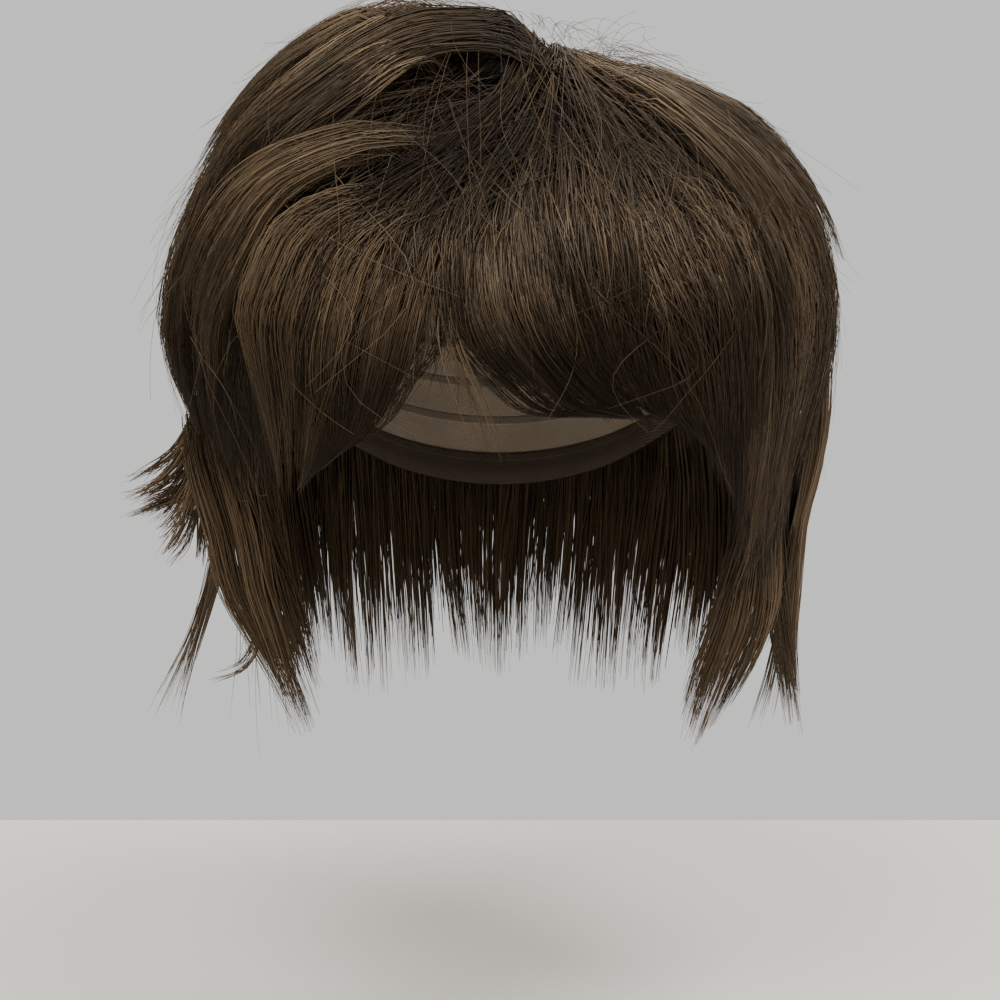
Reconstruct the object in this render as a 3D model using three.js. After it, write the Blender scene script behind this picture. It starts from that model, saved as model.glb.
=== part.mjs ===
// Short shag wig: a thin net cap, a top layer of locks that fan out from the whorl of the crown,
// and a longer under layer of locks behind the ears and at the nape.
// Millimetres, +Z up, face side towards -Y. The origin is the point inside the cap that sits on the
// top of the wearer's head. Left and right are the wearer's: left is +X.
// Azimuth is the compass angle in degrees seen from above: 0 front, 90 left, 180 back, 270 right.

import * as THREE from 'three';

const { clamp, degToRad, euclideanModulo, lerp, radToDeg, smoothstep } = THREE.MathUtils;

// Half axes of the ellipsoid that the inside of the cap fits.
const HEAD = { halfWidth: 73, halfDepth: 92, crown: 98 };

// Net cap: its wall, and how finely its dome is stepped.
const CAP = { wall: 1.2, turns: 36, rings: 10 };

// Clear space between pieces: over the cap, at the roots of the under layer, between the layers, and
// on each side of a lock.
const GAP = { cap: 0.7, root: 0.45, layer: 0.8, beside: 0.35 };

// Whorl that the top layer fans out from, and the share of a lock's length that its tuft takes.
const WHORL = { x: 20, y: 14, z: 4, share: 0.07, turns: 24, rings: 2 };

// Part of the fringe: its azimuth, how many degrees the ends sweep away from it at most, how far
// round the head the sweep reaches, and the share of the length where it begins.
const PART = { azimuth: -6, sweep: 8, reach: 44, begins: 0.6 };

// How the locks of each layer are shaped: steps along and across, how round the outside is, and how
// narrow and how thin the tip becomes, from which share of the length. The sides of a lock end
// before its middle, by the share given as its point.
const TOP_LOCK = { steps: 14, across: 4, round: 0.16, narrow: 0.7, thin: 0.16, tapers: 0.82, point: 0.07 };
const UNDER_LOCK = { steps: 9, across: 4, round: 0.22, narrow: 0.6, thin: 0.2, tapers: 0.5, point: 0.16 };

// Under layer: thickness at the root and lower down, and the height where it clears the top layer.
const UNDER = { rootThick: 2, thick: 10, midZ: -122 };

// Lower edge of the cap around the head.
const CAP_EDGE = table(['azimuth', 'edgeZ'], [
  [0, -45], [30, -52], [60, -70], [90, -88], [120, -110], [150, -131],
  [180, -138], [210, -131], [240, -110], [270, -88], [300, -70], [330, -52],
]);

// Outer form of the top layer: how far out from the middle of the head and how high a lock lies
// where it lifts off the whorl, at its shoulder, at its widest and at its hem.
const TOP_FORM = table(
  ['azimuth', 'liftOut', 'liftZ', 'shoulderOut', 'shoulderZ', 'bulgeOut', 'bulgeZ', 'hemOut', 'hemZ'],
  [
    [0, 34, 13, 80, -27, 104, -66, 107, -98],
    [30, 36, 10, 84, -27, 105, -66, 104, -101],
    [60, 40, 6, 84, -24, 103, -68, 90, -146],
    [90, 43, 2, 82, -21, 103, -68, 98, -128],
    [120, 48, 4, 88, -22, 110, -70, 104, -124],
    [150, 50, 8, 96, -24, 119, -72, 108, -128],
    [180, 46, 13, 98, -22, 123, -74, 110, -130],
    [210, 40, 18, 96, -18, 121, -72, 108, -128],
    [240, 34, 21, 90, -12, 113, -70, 102, -122],
    [270, 32, 22, 80, -13, 104, -70, 94, -116],
    [300, 32, 20, 82, -18, 103, -70, 88, -120],
    [330, 34, 17, 82, -25, 104, -68, 100, -110],
  ],
);

// Outer form of the under layer: height of the roots, how far out it lies at the middle height,
// and where the tips end.
const UNDER_FORM = table(['azimuth', 'rootZ', 'midOut', 'tipOut', 'tipZ'], [
  [60, -84, 82, 66, -190],
  [90, -84, 86, 74, -203],
  [120, -88, 95, 86, -206],
  [150, -94, 103, 88, -203],
  [180, -98, 106, 84, -205],
  [210, -94, 104, 86, -203],
  [240, -88, 96, 88, -198],
  [270, -84, 86, 72, -200],
  [300, -84, 82, 66, -185],
]);

// Locks of the top layer: between which azimuths each lies, how much longer than the hem of the
// layer it is, how far its tip flares out, and how far it stands proud of the layer on the way.
const TOP_LOCKS = table(['name', 'from', 'to', 'longer', 'flare', 'proud'], [
  ['fringe_left_1', -6, 8, 2, 0, 0],
  ['fringe_left_2', 8, 22, 6, 1, 1],
  ['fringe_left_3', 22, 36, 3, 0, -1],
  ['fringe_left_4', 36, 50, -6, -2, 1],
  ['temple_left', 50, 68, -4, -2, -2],
  ['crown_left_1', 68, 88, -4, 0, 0],
  ['crown_left_2', 88, 110, 6, 0, 0],
  ['crown_left_3', 110, 132, 0, 3, -3],
  ['crown_back_1', 132, 156, 4, 0, 2],
  ['crown_back_2', 156, 180, -4, 4, -2],
  ['crown_back_3', 180, 204, 5, 0, 3],
  ['crown_back_4', 204, 228, -2, 4, -2],
  ['crown_right_1', 228, 250, 4, 2, 2],
  ['crown_right_2', 250, 272, 0, 2, 0],
  ['crown_right_3', 272, 292, -6, 4, 1],
  ['temple_right', 292, 308, 2, 0, -6],
  ['fringe_right_4', 308, 320, 4, 2, 0],
  ['fringe_right_3', 320, 332, 2, 0, 2],
  ['fringe_right_2', 332, 343, 0, 0, 0],
  ['fringe_right_1', 343, 354, -4, 0, 1],
]);

// Locks of the under layer, with the same columns but the last.
const UNDER_LOCKS = table(['name', 'from', 'to', 'longer', 'flare'], [
  ['side_left_1', 70, 90, 0, -6],
  ['side_left_2', 90, 110, 2, 22],
  ['nape_1', 110, 138, -4, 2],
  ['nape_2', 138, 166, 2, 0],
  ['nape_3', 166, 194, -2, 4],
  ['nape_4', 194, 222, 2, 0],
  ['nape_5', 222, 244, -6, 2],
  ['flick_right', 244, 263, -60, 46],
  ['wisp_right', 263, 270, -2, 34],
  ['side_right', 270, 292, 0, -6],
]);

// A lock that follows the form of its layer as it is.
const PLAIN = { longer: 0, flare: 0, proud: 0 };

const FINISH = {
  cap: { color: 0x2a221b, roughness: 0.9, metalness: 0 },
  top: { color: 0x4f3d2a, roughness: 0.55, metalness: 0 },
  fringe: { color: 0x4a3826, roughness: 0.55, metalness: 0 },
  under: { color: 0x3f3022, roughness: 0.6, metalness: 0 },
};

function table(columns, rows) {
  return rows.map((row) => Object.fromEntries(columns.map((column, i) => [column, row[i]])));
}

// Value of one column at any azimuth, on a smooth curve through rows that are evenly spaced.
// A table that covers the whole circle joins its ends.
function formAt(rows, column, azimuth) {
  const step = rows[1].azimuth - rows[0].azimuth;
  const isRing = rows.length * step === 360;
  const place = (azimuth - rows[0].azimuth) / step;
  const index = Math.floor(place);
  const share = place - index;
  const row = (i) => (isRing ? euclideanModulo(i, rows.length) : clamp(i, 0, rows.length - 1));
  const [a, b, c, d] = [-1, 0, 1, 2].map((k) => rows[row(index + k)][column]);
  const curved = b * 2 + (c - a) * share + (2 * a - 5 * b + 4 * c - d) * share ** 2;
  return (curved + (3 * b - a - 3 * c + d) * share ** 3) / 2;
}

// Point at a distance out from the middle of the head, in one direction and at one height.
function polar(azimuth, out, z) {
  const angle = degToRad(azimuth);
  return new THREE.Vector3(out * Math.sin(angle), -out * Math.cos(angle), z);
}

// Distance from the middle to the ellipsoid of the head, grown by some thickness, at one height.
function headOut(azimuth, z, grown) {
  const angle = degToRad(azimuth);
  const rise = clamp((z + HEAD.crown) / (HEAD.crown + grown), -1, 1);
  const wide = Math.sin(angle) / (HEAD.halfWidth + grown);
  const deep = Math.cos(angle) / (HEAD.halfDepth + grown);
  return Math.sqrt((1 - rise * rise) / (wide * wide + deep * deep));
}

// Point on the head's ellipsoid, grown by some thickness, at an angle down from the top.
function headPoint(azimuth, down, grown) {
  const angle = degToRad(azimuth);
  return new THREE.Vector3(
    (HEAD.halfWidth + grown) * Math.sin(down) * Math.sin(angle),
    -(HEAD.halfDepth + grown) * Math.sin(down) * Math.cos(angle),
    (HEAD.crown + grown) * Math.cos(down) - HEAD.crown,
  );
}

// Closed solid from two matching grids of points, the outer one counted so that it faces outwards.
// A ring joins its last column to its first; a pole closes the first row in a single point.
function shell(outer, inner, { ring = false, pole = false } = {}) {
  const rows = outer.length;
  const columns = outer[0].length;
  const points = [...outer.flat(), ...inner.flat()];
  const half = rows * columns;
  const at = (side, i, j) => side * half + i * columns + (pole && i === 0 ? 0 : j % columns);
  const faces = [];
  const quad = (a, b, c, d) => {
    faces.push([a, b, c], [a, c, d]);
  };
  const bands = ring ? columns : columns - 1;
  for (let i = 0; i < rows - 1; i += 1) {
    for (let j = 0; j < bands; j += 1) {
      quad(at(0, i, j), at(0, i + 1, j), at(0, i + 1, j + 1), at(0, i, j + 1));
      quad(at(1, i, j), at(1, i, j + 1), at(1, i + 1, j + 1), at(1, i + 1, j));
    }
  }
  for (let j = 0; j < bands; j += 1) {
    quad(at(0, rows - 1, j), at(1, rows - 1, j), at(1, rows - 1, j + 1), at(0, rows - 1, j + 1));
    if (!pole) {
      quad(at(0, 0, j), at(0, 0, j + 1), at(1, 0, j + 1), at(1, 0, j));
    }
  }
  if (!ring) {
    for (let i = 0; i < rows - 1; i += 1) {
      const end = columns - 1;
      quad(at(0, i, 0), at(1, i, 0), at(1, i + 1, 0), at(0, i + 1, 0));
      quad(at(0, i, end), at(0, i + 1, end), at(1, i + 1, end), at(1, i, end));
    }
  }
  const solid = faces.filter(([a, b, c]) => a !== b && b !== c && c !== a);
  const geometry = new THREE.BufferGeometry().setFromPoints(points);
  geometry.setIndex(solid.flat());
  geometry.computeVertexNormals();
  return geometry;
}

function piece(name, geometry, finish) {
  const mesh = new THREE.Mesh(geometry, new THREE.MeshStandardMaterial(finish));
  mesh.name = name;
  return mesh;
}

// Dome of even wall, open below, with its edge high over the face and low at the nape.
function capGeometry() {
  const wallSide = (grown) => {
    const rows = [];
    for (let i = 0; i <= CAP.rings; i += 1) {
      const row = [];
      for (let j = 0; j < CAP.turns; j += 1) {
        const azimuth = (360 * j) / CAP.turns;
        const edge = Math.acos(1 + formAt(CAP_EDGE, 'edgeZ', azimuth) / HEAD.crown);
        row.push(headPoint(azimuth, (edge * i) / CAP.rings, grown));
      }
      rows.push(row);
    }
    return rows;
  };
  return shell(wallSide(CAP.wall), wallSide(0), { ring: true, pole: true });
}

// Azimuth that a lock has reached at a share of its length: near the part the ends sweep aside.
function sweptAzimuth(azimuth, share) {
  const turn = euclideanModulo(azimuth - PART.azimuth + 180, 360) - 180;
  const near = clamp(1 - Math.abs(turn) / PART.reach, 0, 1);
  const late = smoothstep(share, PART.begins, 1);
  return azimuth + Math.sign(turn || 1) * PART.sweep * near * near * late;
}

// Outside of the top layer, as long as the lock: from the whorl over the shoulder to the hem.
function topOuter(azimuth, share, lock) {
  const form = (column) => formAt(TOP_FORM, column, azimuth);
  const knots = [
    new THREE.Vector3(WHORL.x, WHORL.y, WHORL.z),
    polar(azimuth, form('liftOut'), form('liftZ')),
    polar(azimuth, form('shoulderOut') + lock.proud, form('shoulderZ')),
    polar(azimuth, form('bulgeOut') + lock.proud, form('bulgeZ')),
    polar(azimuth, form('hemOut') + lock.flare, form('hemZ') - lock.longer),
  ];
  return new THREE.CatmullRomCurve3(knots, false, 'catmullrom', 0.5).getPoint(share);
}

// Outside of the under layer: from the roots on the cap to the tips.
function underOuter(azimuth, share, lock) {
  const form = (column) => formAt(UNDER_FORM, column, azimuth);
  const rootOut = headOut(azimuth, form('rootZ'), CAP.wall + GAP.root + UNDER.rootThick);
  const knots = [
    polar(azimuth, rootOut, form('rootZ')),
    polar(azimuth, form('midOut'), UNDER.midZ),
    polar(azimuth, form('tipOut') + lock.flare, form('tipZ') - lock.longer),
  ];
  return new THREE.CatmullRomCurve3(knots, false, 'catmullrom', 0.5).getPoint(share);
}

// How far out the under layer reaches at one height, or nothing above its roots and in front of it.
function underReach(azimuth, z) {
  const turn = euclideanModulo(azimuth, 360);
  const first = UNDER_LOCKS[0].from - 2;
  const last = UNDER_LOCKS[UNDER_LOCKS.length - 1].to + 2;
  if (turn < first || turn > last) {
    return 0;
  }
  let above = underOuter(turn, 0, PLAIN);
  if (z > above.z + 6) {
    return 0;
  }
  for (let i = 1; i <= 20; i += 1) {
    const below = underOuter(turn, i / 20, PLAIN);
    if (below.z <= z) {
      const share = clamp((above.z - z) / (above.z - below.z), 0, 1);
      return lerp(Math.hypot(above.x, above.y), Math.hypot(below.x, below.y), share);
    }
    above = below;
  }
  return Math.hypot(above.x, above.y);
}

// Inside of the top layer under a point of its outside: on the cap, and outside the under layer.
function topInner(point) {
  const grown = CAP.wall + GAP.cap;
  const rise = Math.max(point.z + HEAD.crown, 0);
  const scale = Math.hypot(
    point.x / (HEAD.halfWidth + grown),
    point.y / (HEAD.halfDepth + grown),
    rise / (HEAD.crown + grown),
  );
  const inner = new THREE.Vector3(point.x / scale, point.y / scale, point.z);
  if (rise > 0) {
    inner.z = rise / scale - HEAD.crown;
  }
  const azimuth = radToDeg(Math.atan2(inner.x, -inner.y));
  const reach = underReach(azimuth, inner.z) + GAP.layer;
  const out = Math.hypot(inner.x, inner.y);
  const push = Math.max(reach / out, 1);
  inner.x *= push;
  inner.y *= push;
  return inner;
}

// Inside of the under layer: a little behind its outside, and on the cap where there is cap.
function underInner(point, share) {
  const azimuth = radToDeg(Math.atan2(point.x, -point.y));
  const out = Math.hypot(point.x, point.y);
  const thick = lerp(UNDER.rootThick, UNDER.thick, smoothstep(share, 0, 0.4));
  const cap = headOut(azimuth, point.z, CAP.wall + GAP.root);
  const isOverCap = point.z > formAt(CAP_EDGE, 'edgeZ', azimuth) - 4;
  return polar(azimuth, isOverCap ? Math.max(out - thick, cap) : out - thick, point.z);
}

// Each layer: the shape of its locks, the share of the length where they begin, the point in plan
// that they fan out from, and its outside, inside and sweep.
const LAYERS = {
  top: {
    shape: TOP_LOCK,
    begins: WHORL.share,
    from: WHORL,
    outer: topOuter,
    inner: topInner,
    sweep: sweptAzimuth,
  },
  under: {
    shape: UNDER_LOCK,
    begins: 0,
    from: { x: 0, y: 0 },
    outer: underOuter,
    inner: underInner,
    sweep: (azimuth) => azimuth,
  },
};

// One lock: rows of points along it, tapered to its tip, on the outside and the inside of its layer.
function lockGeometry(layer, lock) {
  const shape = layer.shape;
  const middle = (lock.from + lock.to) / 2;
  const outer = [];
  const inner = [];
  for (let i = 0; i <= shape.steps; i += 1) {
    const share = lerp(layer.begins, 1, i / shape.steps);
    const taper = smoothstep(share, shape.tapers, 1);
    const spine = layer.outer(middle, share, lock);
    const spread = Math.hypot(spine.x - layer.from.x, spine.y - layer.from.y);
    const width = (lock.to - lock.from) * lerp(1, shape.narrow, taper) - 2 * radToDeg(GAP.beside / spread);
    const outerRow = [];
    const innerRow = [];
    for (let j = 0; j <= shape.across; j += 1) {
      const across = j / shape.across - 0.5;
      const side = (2 * across) ** 2;
      const reached = share * (1 - (shape.point * side * i) / shape.steps);
      const azimuth = layer.sweep(middle + width * across, reached);
      const crest = layer.outer(azimuth, reached, lock);
      const base = layer.inner(crest, reached);
      outerRow.push(base.clone().lerp(crest, 1 - shape.round * side));
      innerRow.push(base.clone().lerp(crest, (1 - shape.round * side - shape.thin) * taper));
    }
    outer.push(outerRow);
    inner.push(innerRow);
  }
  return shell(outer, inner);
}

// Tuft that closes the middle of the fan of locks.
function whorlGeometry() {
  const outer = [];
  const inner = [];
  for (let i = 0; i <= WHORL.rings; i += 1) {
    const share = ((WHORL.share - 0.008) * i) / WHORL.rings;
    const outerRow = [];
    const innerRow = [];
    for (let j = 0; j < WHORL.turns; j += 1) {
      const crest = topOuter((360 * j) / WHORL.turns, share, PLAIN);
      outerRow.push(crest);
      innerRow.push(topInner(crest));
    }
    outer.push(outerRow);
    inner.push(innerRow);
  }
  return shell(outer, inner, { ring: true, pole: true });
}

function buildWig() {
  const wig = new THREE.Group();
  wig.name = 'short_shag_wig';
  wig.add(piece('cap', capGeometry(), FINISH.cap));
  wig.add(piece('whorl', whorlGeometry(), FINISH.top));
  for (const lock of TOP_LOCKS) {
    const finish = lock.name.startsWith('fringe') ? FINISH.fringe : FINISH.top;
    wig.add(piece(lock.name, lockGeometry(LAYERS.top, lock), finish));
  }
  for (const lock of UNDER_LOCKS) {
    wig.add(piece(lock.name, lockGeometry(LAYERS.under, lock), FINISH.under));
  }
  return wig;
}

export default buildWig();
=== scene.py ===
"""Short shag wig: a net cap and its hair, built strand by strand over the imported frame.

The hair follows the same form as the solids of the frame: a top layer that fans out from the whorl
of the crown and an under layer at the sides and the nape. Sizes are millimetres until the
meshes are made. Azimuth is in degrees seen from above: 0 front, 90 left, 180 back, 270 right.
"""

import logging
import math
from dataclasses import dataclass, field, replace
from enum import Enum
from typing import Any, Sequence, Union

import bpy
import numpy as np
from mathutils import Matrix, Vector


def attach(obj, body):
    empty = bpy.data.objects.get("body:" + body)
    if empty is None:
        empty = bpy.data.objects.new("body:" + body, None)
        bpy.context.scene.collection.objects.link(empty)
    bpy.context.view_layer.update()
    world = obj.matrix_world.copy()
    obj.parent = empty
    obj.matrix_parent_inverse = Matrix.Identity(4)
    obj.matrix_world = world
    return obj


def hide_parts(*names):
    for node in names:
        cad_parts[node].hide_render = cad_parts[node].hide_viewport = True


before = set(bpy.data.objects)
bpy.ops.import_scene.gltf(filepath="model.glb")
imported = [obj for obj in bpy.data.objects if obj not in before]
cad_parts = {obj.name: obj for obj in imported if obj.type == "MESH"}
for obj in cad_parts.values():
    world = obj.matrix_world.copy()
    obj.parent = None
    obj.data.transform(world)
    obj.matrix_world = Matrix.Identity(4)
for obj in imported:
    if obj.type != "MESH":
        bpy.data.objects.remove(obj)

LOG = logging.getLogger("short_shag_wig")
MM = 0.001
ROOT_BODY = "root"
Colour = tuple[float, float, float]


class Layer(Enum):
    """Layers of hair."""

    TOP = "top"
    UNDER = "under"


class Slot(Enum):
    """Material slots of the record."""

    TOP_HAIR = "top_hair"
    UNDER_HAIR = "under_hair"
    CAP_NET = "cap_net"


# Shader helpers


class Value:
    """Output socket of a shader tree that can be used in sums.

    Args:
        shader: Tree that the socket belongs to.
        socket: The output socket.
    """

    def __init__(self, shader: "Shader", socket: bpy.types.NodeSocket) -> None:
        """Keep the tree and the socket."""
        self.shader = shader
        self.socket = socket

    def __add__(self, other: "Number") -> "Value":
        """Return self + other."""
        return self.shader.maths("ADD", self, other)

    def __radd__(self, other: "Number") -> "Value":
        """Return other + self."""
        return self.shader.maths("ADD", other, self)

    def __sub__(self, other: "Number") -> "Value":
        """Return self - other."""
        return self.shader.maths("SUBTRACT", self, other)

    def __rsub__(self, other: "Number") -> "Value":
        """Return other - self."""
        return self.shader.maths("SUBTRACT", other, self)

    def __mul__(self, other: "Number") -> "Value":
        """Return self * other."""
        return self.shader.maths("MULTIPLY", self, other)

    def __rmul__(self, other: "Number") -> "Value":
        """Return other * self."""
        return self.shader.maths("MULTIPLY", other, self)


Number = Union[Value, float]


class NodeTree:
    """Node tree with one way to add a node.

    Args:
        tree: The tree.
    """

    def __init__(self, tree: bpy.types.NodeTree) -> None:
        """Keep the tree."""
        self.tree = tree

    def node(self, kind: str, settings: dict[str, Any], sockets: dict[Any, Any]) -> bpy.types.Node:
        """Add a node.

        Args:
            kind: Node type.
            settings: Node properties by name.
            sockets: Input values or links by socket name or index.

        Returns:
            The new node.
        """
        made = self.tree.nodes.new(kind)
        for key, value in settings.items():
            setattr(made, key, value)
        for key, value in sockets.items():
            self.feed(made.inputs[key], value)
        return made

    def feed(self, socket: bpy.types.NodeSocket, value: Any) -> None:
        """Link or set an input socket.

        Args:
            socket: Input socket.
            value: A Value or output socket to link, or a constant.
        """
        source = value.socket if isinstance(value, Value) else value
        if isinstance(source, bpy.types.NodeSocket):
            self.tree.links.new(source, socket)
        else:
            socket.default_value = source


class Shader(NodeTree):
    """Node material with one Principled surface.

    Args:
        name: Name of the material.
    """

    def __init__(self, name: str) -> None:
        """Start the material."""
        self.material = bpy.data.materials.new(name)
        self.material.use_nodes = True
        super().__init__(self.material.node_tree)
        self.surface = self.tree.nodes["Principled BSDF"]

    def maths(self, operation: str, *operands: Number) -> Value:
        """Add a maths node.

        Args:
            operation: Maths operation.
            *operands: Values or constants.

        Returns:
            The result.
        """
        sockets = dict(enumerate(operands))
        made = self.node("ShaderNodeMath", {"operation": operation}, sockets)
        return Value(self, made.outputs[0])

    def attribute(self, name: str) -> Value:
        """Read a number stored on the mesh.

        Args:
            name: Attribute name.

        Returns:
            Its value.
        """
        made = self.node("ShaderNodeAttribute", {"attribute_name": name}, {})
        return Value(self, made.outputs["Fac"])

    def ramp(self, value: Number, low: float, high: float) -> Value:
        """Rise smoothly from 0 at low to 1 at high.

        Args:
            value: Value to map.
            low: Where the rise begins.
            high: Where it ends.

        Returns:
            The share from 0 to 1.
        """
        sockets = {"Value": value, "From Min": low, "From Max": high}
        made = self.node("ShaderNodeMapRange", {"interpolation_type": "SMOOTHSTEP"}, sockets)
        return Value(self, made.outputs["Result"])

    def mix(self, share: Number, first: Any, second: Any) -> Value:
        """Mix two colours.

        Args:
            share: 0 for the first, 1 for the second.
            first: Colour or Value.
            second: Colour or Value.

        Returns:
            The mixed colour.
        """
        made = self.node("ShaderNodeMix", {"data_type": "RGBA"}, {0: share})
        for socket, colour in ((made.inputs[6], first), (made.inputs[7], second)):
            self.feed(socket, colour if isinstance(colour, Value) else (*colour, 1.0))
        return Value(self, made.outputs[2])

    def scaled(self, colour: Any, factor: Number) -> Value:
        """Make a colour lighter or darker.

        Args:
            colour: Colour or Value.
            factor: What to multiply it by.

        Returns:
            The scaled colour.
        """
        made = self.node("ShaderNodeVectorMath", {"operation": "SCALE"}, {"Scale": factor})
        self.feed(made.inputs[0], colour)
        return Value(self, made.outputs[0])

    def noise(self, place: Value, scale: float, detail: float) -> Value:
        """Add a noise texture.

        Args:
            place: Where it is read.
            scale: Spots in each unit of place.
            detail: Octaves.

        Returns:
            Noise from 0 to 1.
        """
        made = self.node("ShaderNodeTexNoise", {}, {"Vector": place, "Scale": scale, "Detail": detail})
        return Value(self, made.outputs["Fac"])

    def object_place(self) -> Value:
        """Return the place on the object, in metres."""
        made = self.node("ShaderNodeTexCoord", {}, {})
        return Value(self, made.outputs["Object"])


@dataclass(frozen=True)
class HairFinish:
    """Satin synthetic hair that is dark at the roots and golden along its length.

    Args:
        name: Material name.
        root: Colour at the roots; in the under layer it also paints the shade beneath the top layer.
        body: Colour along the length.
        gold: Colour of the lighter strands.
        tip: Colour of the ends; in the top hair a dark colour that paints the shade of the lower hair and
            the hem.
        sheen: Colour of the highlights.
        roughness: Roughness of the smoothest strands.
        tint_rough: Roughness that the lightest strands have more.
        root_rough: Roughness that the roots have more.
        shade: Brightness of the darkest strands.
        gloss: Strength of the highlights.
    """

    name: str
    root: Colour
    body: Colour
    gold: Colour
    tip: Colour
    sheen: Colour = (1.0, 0.85, 0.68)
    roughness: float = 0.3
    tint_rough: float = 0.14
    root_rough: float = 0.2
    shade: float = 0.5
    gloss: float = 0.16

    def material(self) -> bpy.types.Material:
        """Build the material.

        Returns:
            Material that reads the strand attributes dark, end, tint and gold.
        """
        shader = Shader(self.name)
        tint = shader.attribute("tint")
        body = shader.mix(shader.attribute("gold"), self.body, self.gold)
        ended = shader.mix(shader.attribute("end"), body, self.tip)
        dark_root_and_shade = shader.mix(shader.attribute("dark"), ended, self.root)
        shader.feed(shader.surface.inputs["Base Color"], shader.scaled(dark_root_and_shade, self.shade + tint))
        rough = self.roughness + tint * self.tint_rough + shader.attribute("dark") * self.root_rough
        shader.feed(shader.surface.inputs["Roughness"], rough)
        shader.surface.inputs["Specular IOR Level"].default_value = self.gloss
        shader.surface.inputs["Specular Tint"].default_value = (*self.sheen, 1.0)
        return shader.material


@dataclass(frozen=True)
class NetFinish:
    """Matt stretch net, dark outside and paler inside, with rows of sewn hair and a hem.

    Args:
        name: Material name.
        thread: Colour of the threads.
        hole: Colour of the holes between them.
        lining: Colour of the inside.
        hem: Colour of the hem along the edge, inside.
        pitch: Distance between threads in millimetres.
        rows: Sewn rows between the crown and the edge.
        hem_start: Share of the way down where the hem begins.
        hem_seam: Share of the way down that its seam takes.
        spots: Worn spots in each metre.
        relief: Height of a thread in metres.
        gloss: Strength of the highlights.
    """

    name: str
    thread: Colour
    hole: Colour
    lining: Colour
    hem: Colour
    pitch: float = 1.6
    rows: int = 15
    hem_start: float = 0.94
    hem_seam: float = 0.006
    spots: float = 60.0
    relief: float = 0.0004
    gloss: float = 0.1

    def material(self) -> bpy.types.Material:
        """Build the material.

        Returns:
            Material that reads the map of the cap in millimetres.
        """
        shader = Shader(self.name)
        uv = shader.node("ShaderNodeUVMap", {"uv_map": "net"}, {})
        split = shader.node("ShaderNodeSeparateXYZ", {}, {0: Value(shader, uv.outputs[0])})
        across = Value(shader, split.outputs[0])
        along = Value(shader, split.outputs[1])
        turn = math.pi / self.pitch
        one = shader.maths("ABSOLUTE", shader.maths("SINE", (across + along) * turn))
        two = shader.maths("ABSOLUTE", shader.maths("SINE", (across - along) * turn))
        thread = 1 - shader.ramp(shader.maths("MINIMUM", one, two), 0.25, 0.55)
        down = shader.attribute("down")
        sewn = shader.ramp(shader.maths("SINE", down * (2 * math.pi * self.rows)), 0.72, 0.9)
        worn = shader.noise(shader.object_place(), self.spots, 3.0)
        outside = shader.mix(thread, self.hole, self.thread)
        lining = shader.mix(thread, shader.scaled(self.lining, 0.7), self.lining)
        hemmed = shader.ramp(down, self.hem_start, self.hem_start + self.hem_seam)
        hem = shader.mix(thread, shader.scaled(self.hem, 0.45), self.hem)
        inside = shader.mix(hemmed, shader.mix(sewn * 0.45, lining, self.thread), hem)
        colour = shader.mix(shader.attribute("inside"), outside, inside)
        shader.feed(shader.surface.inputs["Base Color"], shader.scaled(colour, 0.75 + worn * 0.5))
        shader.feed(shader.surface.inputs["Roughness"], 0.95 - thread * 0.2)
        height = thread + sewn * 2 + hemmed * 3
        raised = {"Height": height, "Strength": 0.6, "Distance": self.relief}
        bump = shader.node("ShaderNodeBump", {}, raised)
        shader.feed(shader.surface.inputs["Normal"], Value(shader, bump.outputs[0]))
        shader.surface.inputs["Specular IOR Level"].default_value = self.gloss
        return shader.material


# Form of the hair


def smooth_through(a: Any, b: Any, c: Any, d: Any, share: Any) -> Any:
    """Run a smooth curve from b to c, with a before and d after.

    Args:
        a: Value before.
        b: First value.
        c: Second value.
        d: Value after.
        share: Share of the way from b to c.

    Returns:
        The value on the curve.
    """
    straight = 2 * b + (c - a) * share
    return 0.5 * (straight + (2 * a - 5 * b + 4 * c - d) * share**2 + (3 * b - a - 3 * c + d) * share**3)


def ease(value: Any, low: float, high: float) -> Any:
    """Rise smoothly from 0 at low to 1 at high.

    Args:
        value: Values to map.
        low: Where the rise begins.
        high: Where it ends.

    Returns:
        Shares from 0 to 1.
    """
    share = np.clip((value - low) / (high - low), 0.0, 1.0)
    return share * share * (3 - 2 * share)


def polar(azimuth: np.ndarray, out: np.ndarray, z: np.ndarray) -> np.ndarray:
    """Place points around the middle of the wig.

    Args:
        azimuth: Directions in degrees.
        out: Distances from the middle.
        z: Heights.

    Returns:
        Points with a last axis of three.
    """
    angle = np.radians(azimuth)
    return np.stack(np.broadcast_arrays(out * np.sin(angle), -out * np.cos(angle), z), axis=-1)


def along_knots(knots: Sequence[np.ndarray], share: np.ndarray) -> np.ndarray:
    """Run along smooth curves through knots, one curve for each place.

    Args:
        knots: Arrays of points.
        share: Shares of the whole curve.

    Returns:
        Points.
    """
    spans = len(knots) - 1
    padded = np.stack([2 * knots[0] - knots[1], *knots, 2 * knots[-1] - knots[-2]])
    index = np.clip(np.floor(share * spans).astype(int), 0, spans - 1)
    rest = (share * spans - index)[..., None]
    picked = [np.take_along_axis(padded, (index + k)[None, ..., None], axis=0)[0] for k in range(4)]
    return smooth_through(*picked, rest)


def along_path(path: Sequence[Sequence[float]], share: np.ndarray) -> np.ndarray:
    """Run along one smooth curve through a few points.

    Args:
        path: The points.
        share: Shares of the whole curve.

    Returns:
        Points on the curve.
    """
    knots = [np.broadcast_to(np.array(point, dtype=float), (*share.shape, len(point))) for point in path]
    return along_knots(knots, share)


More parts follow.
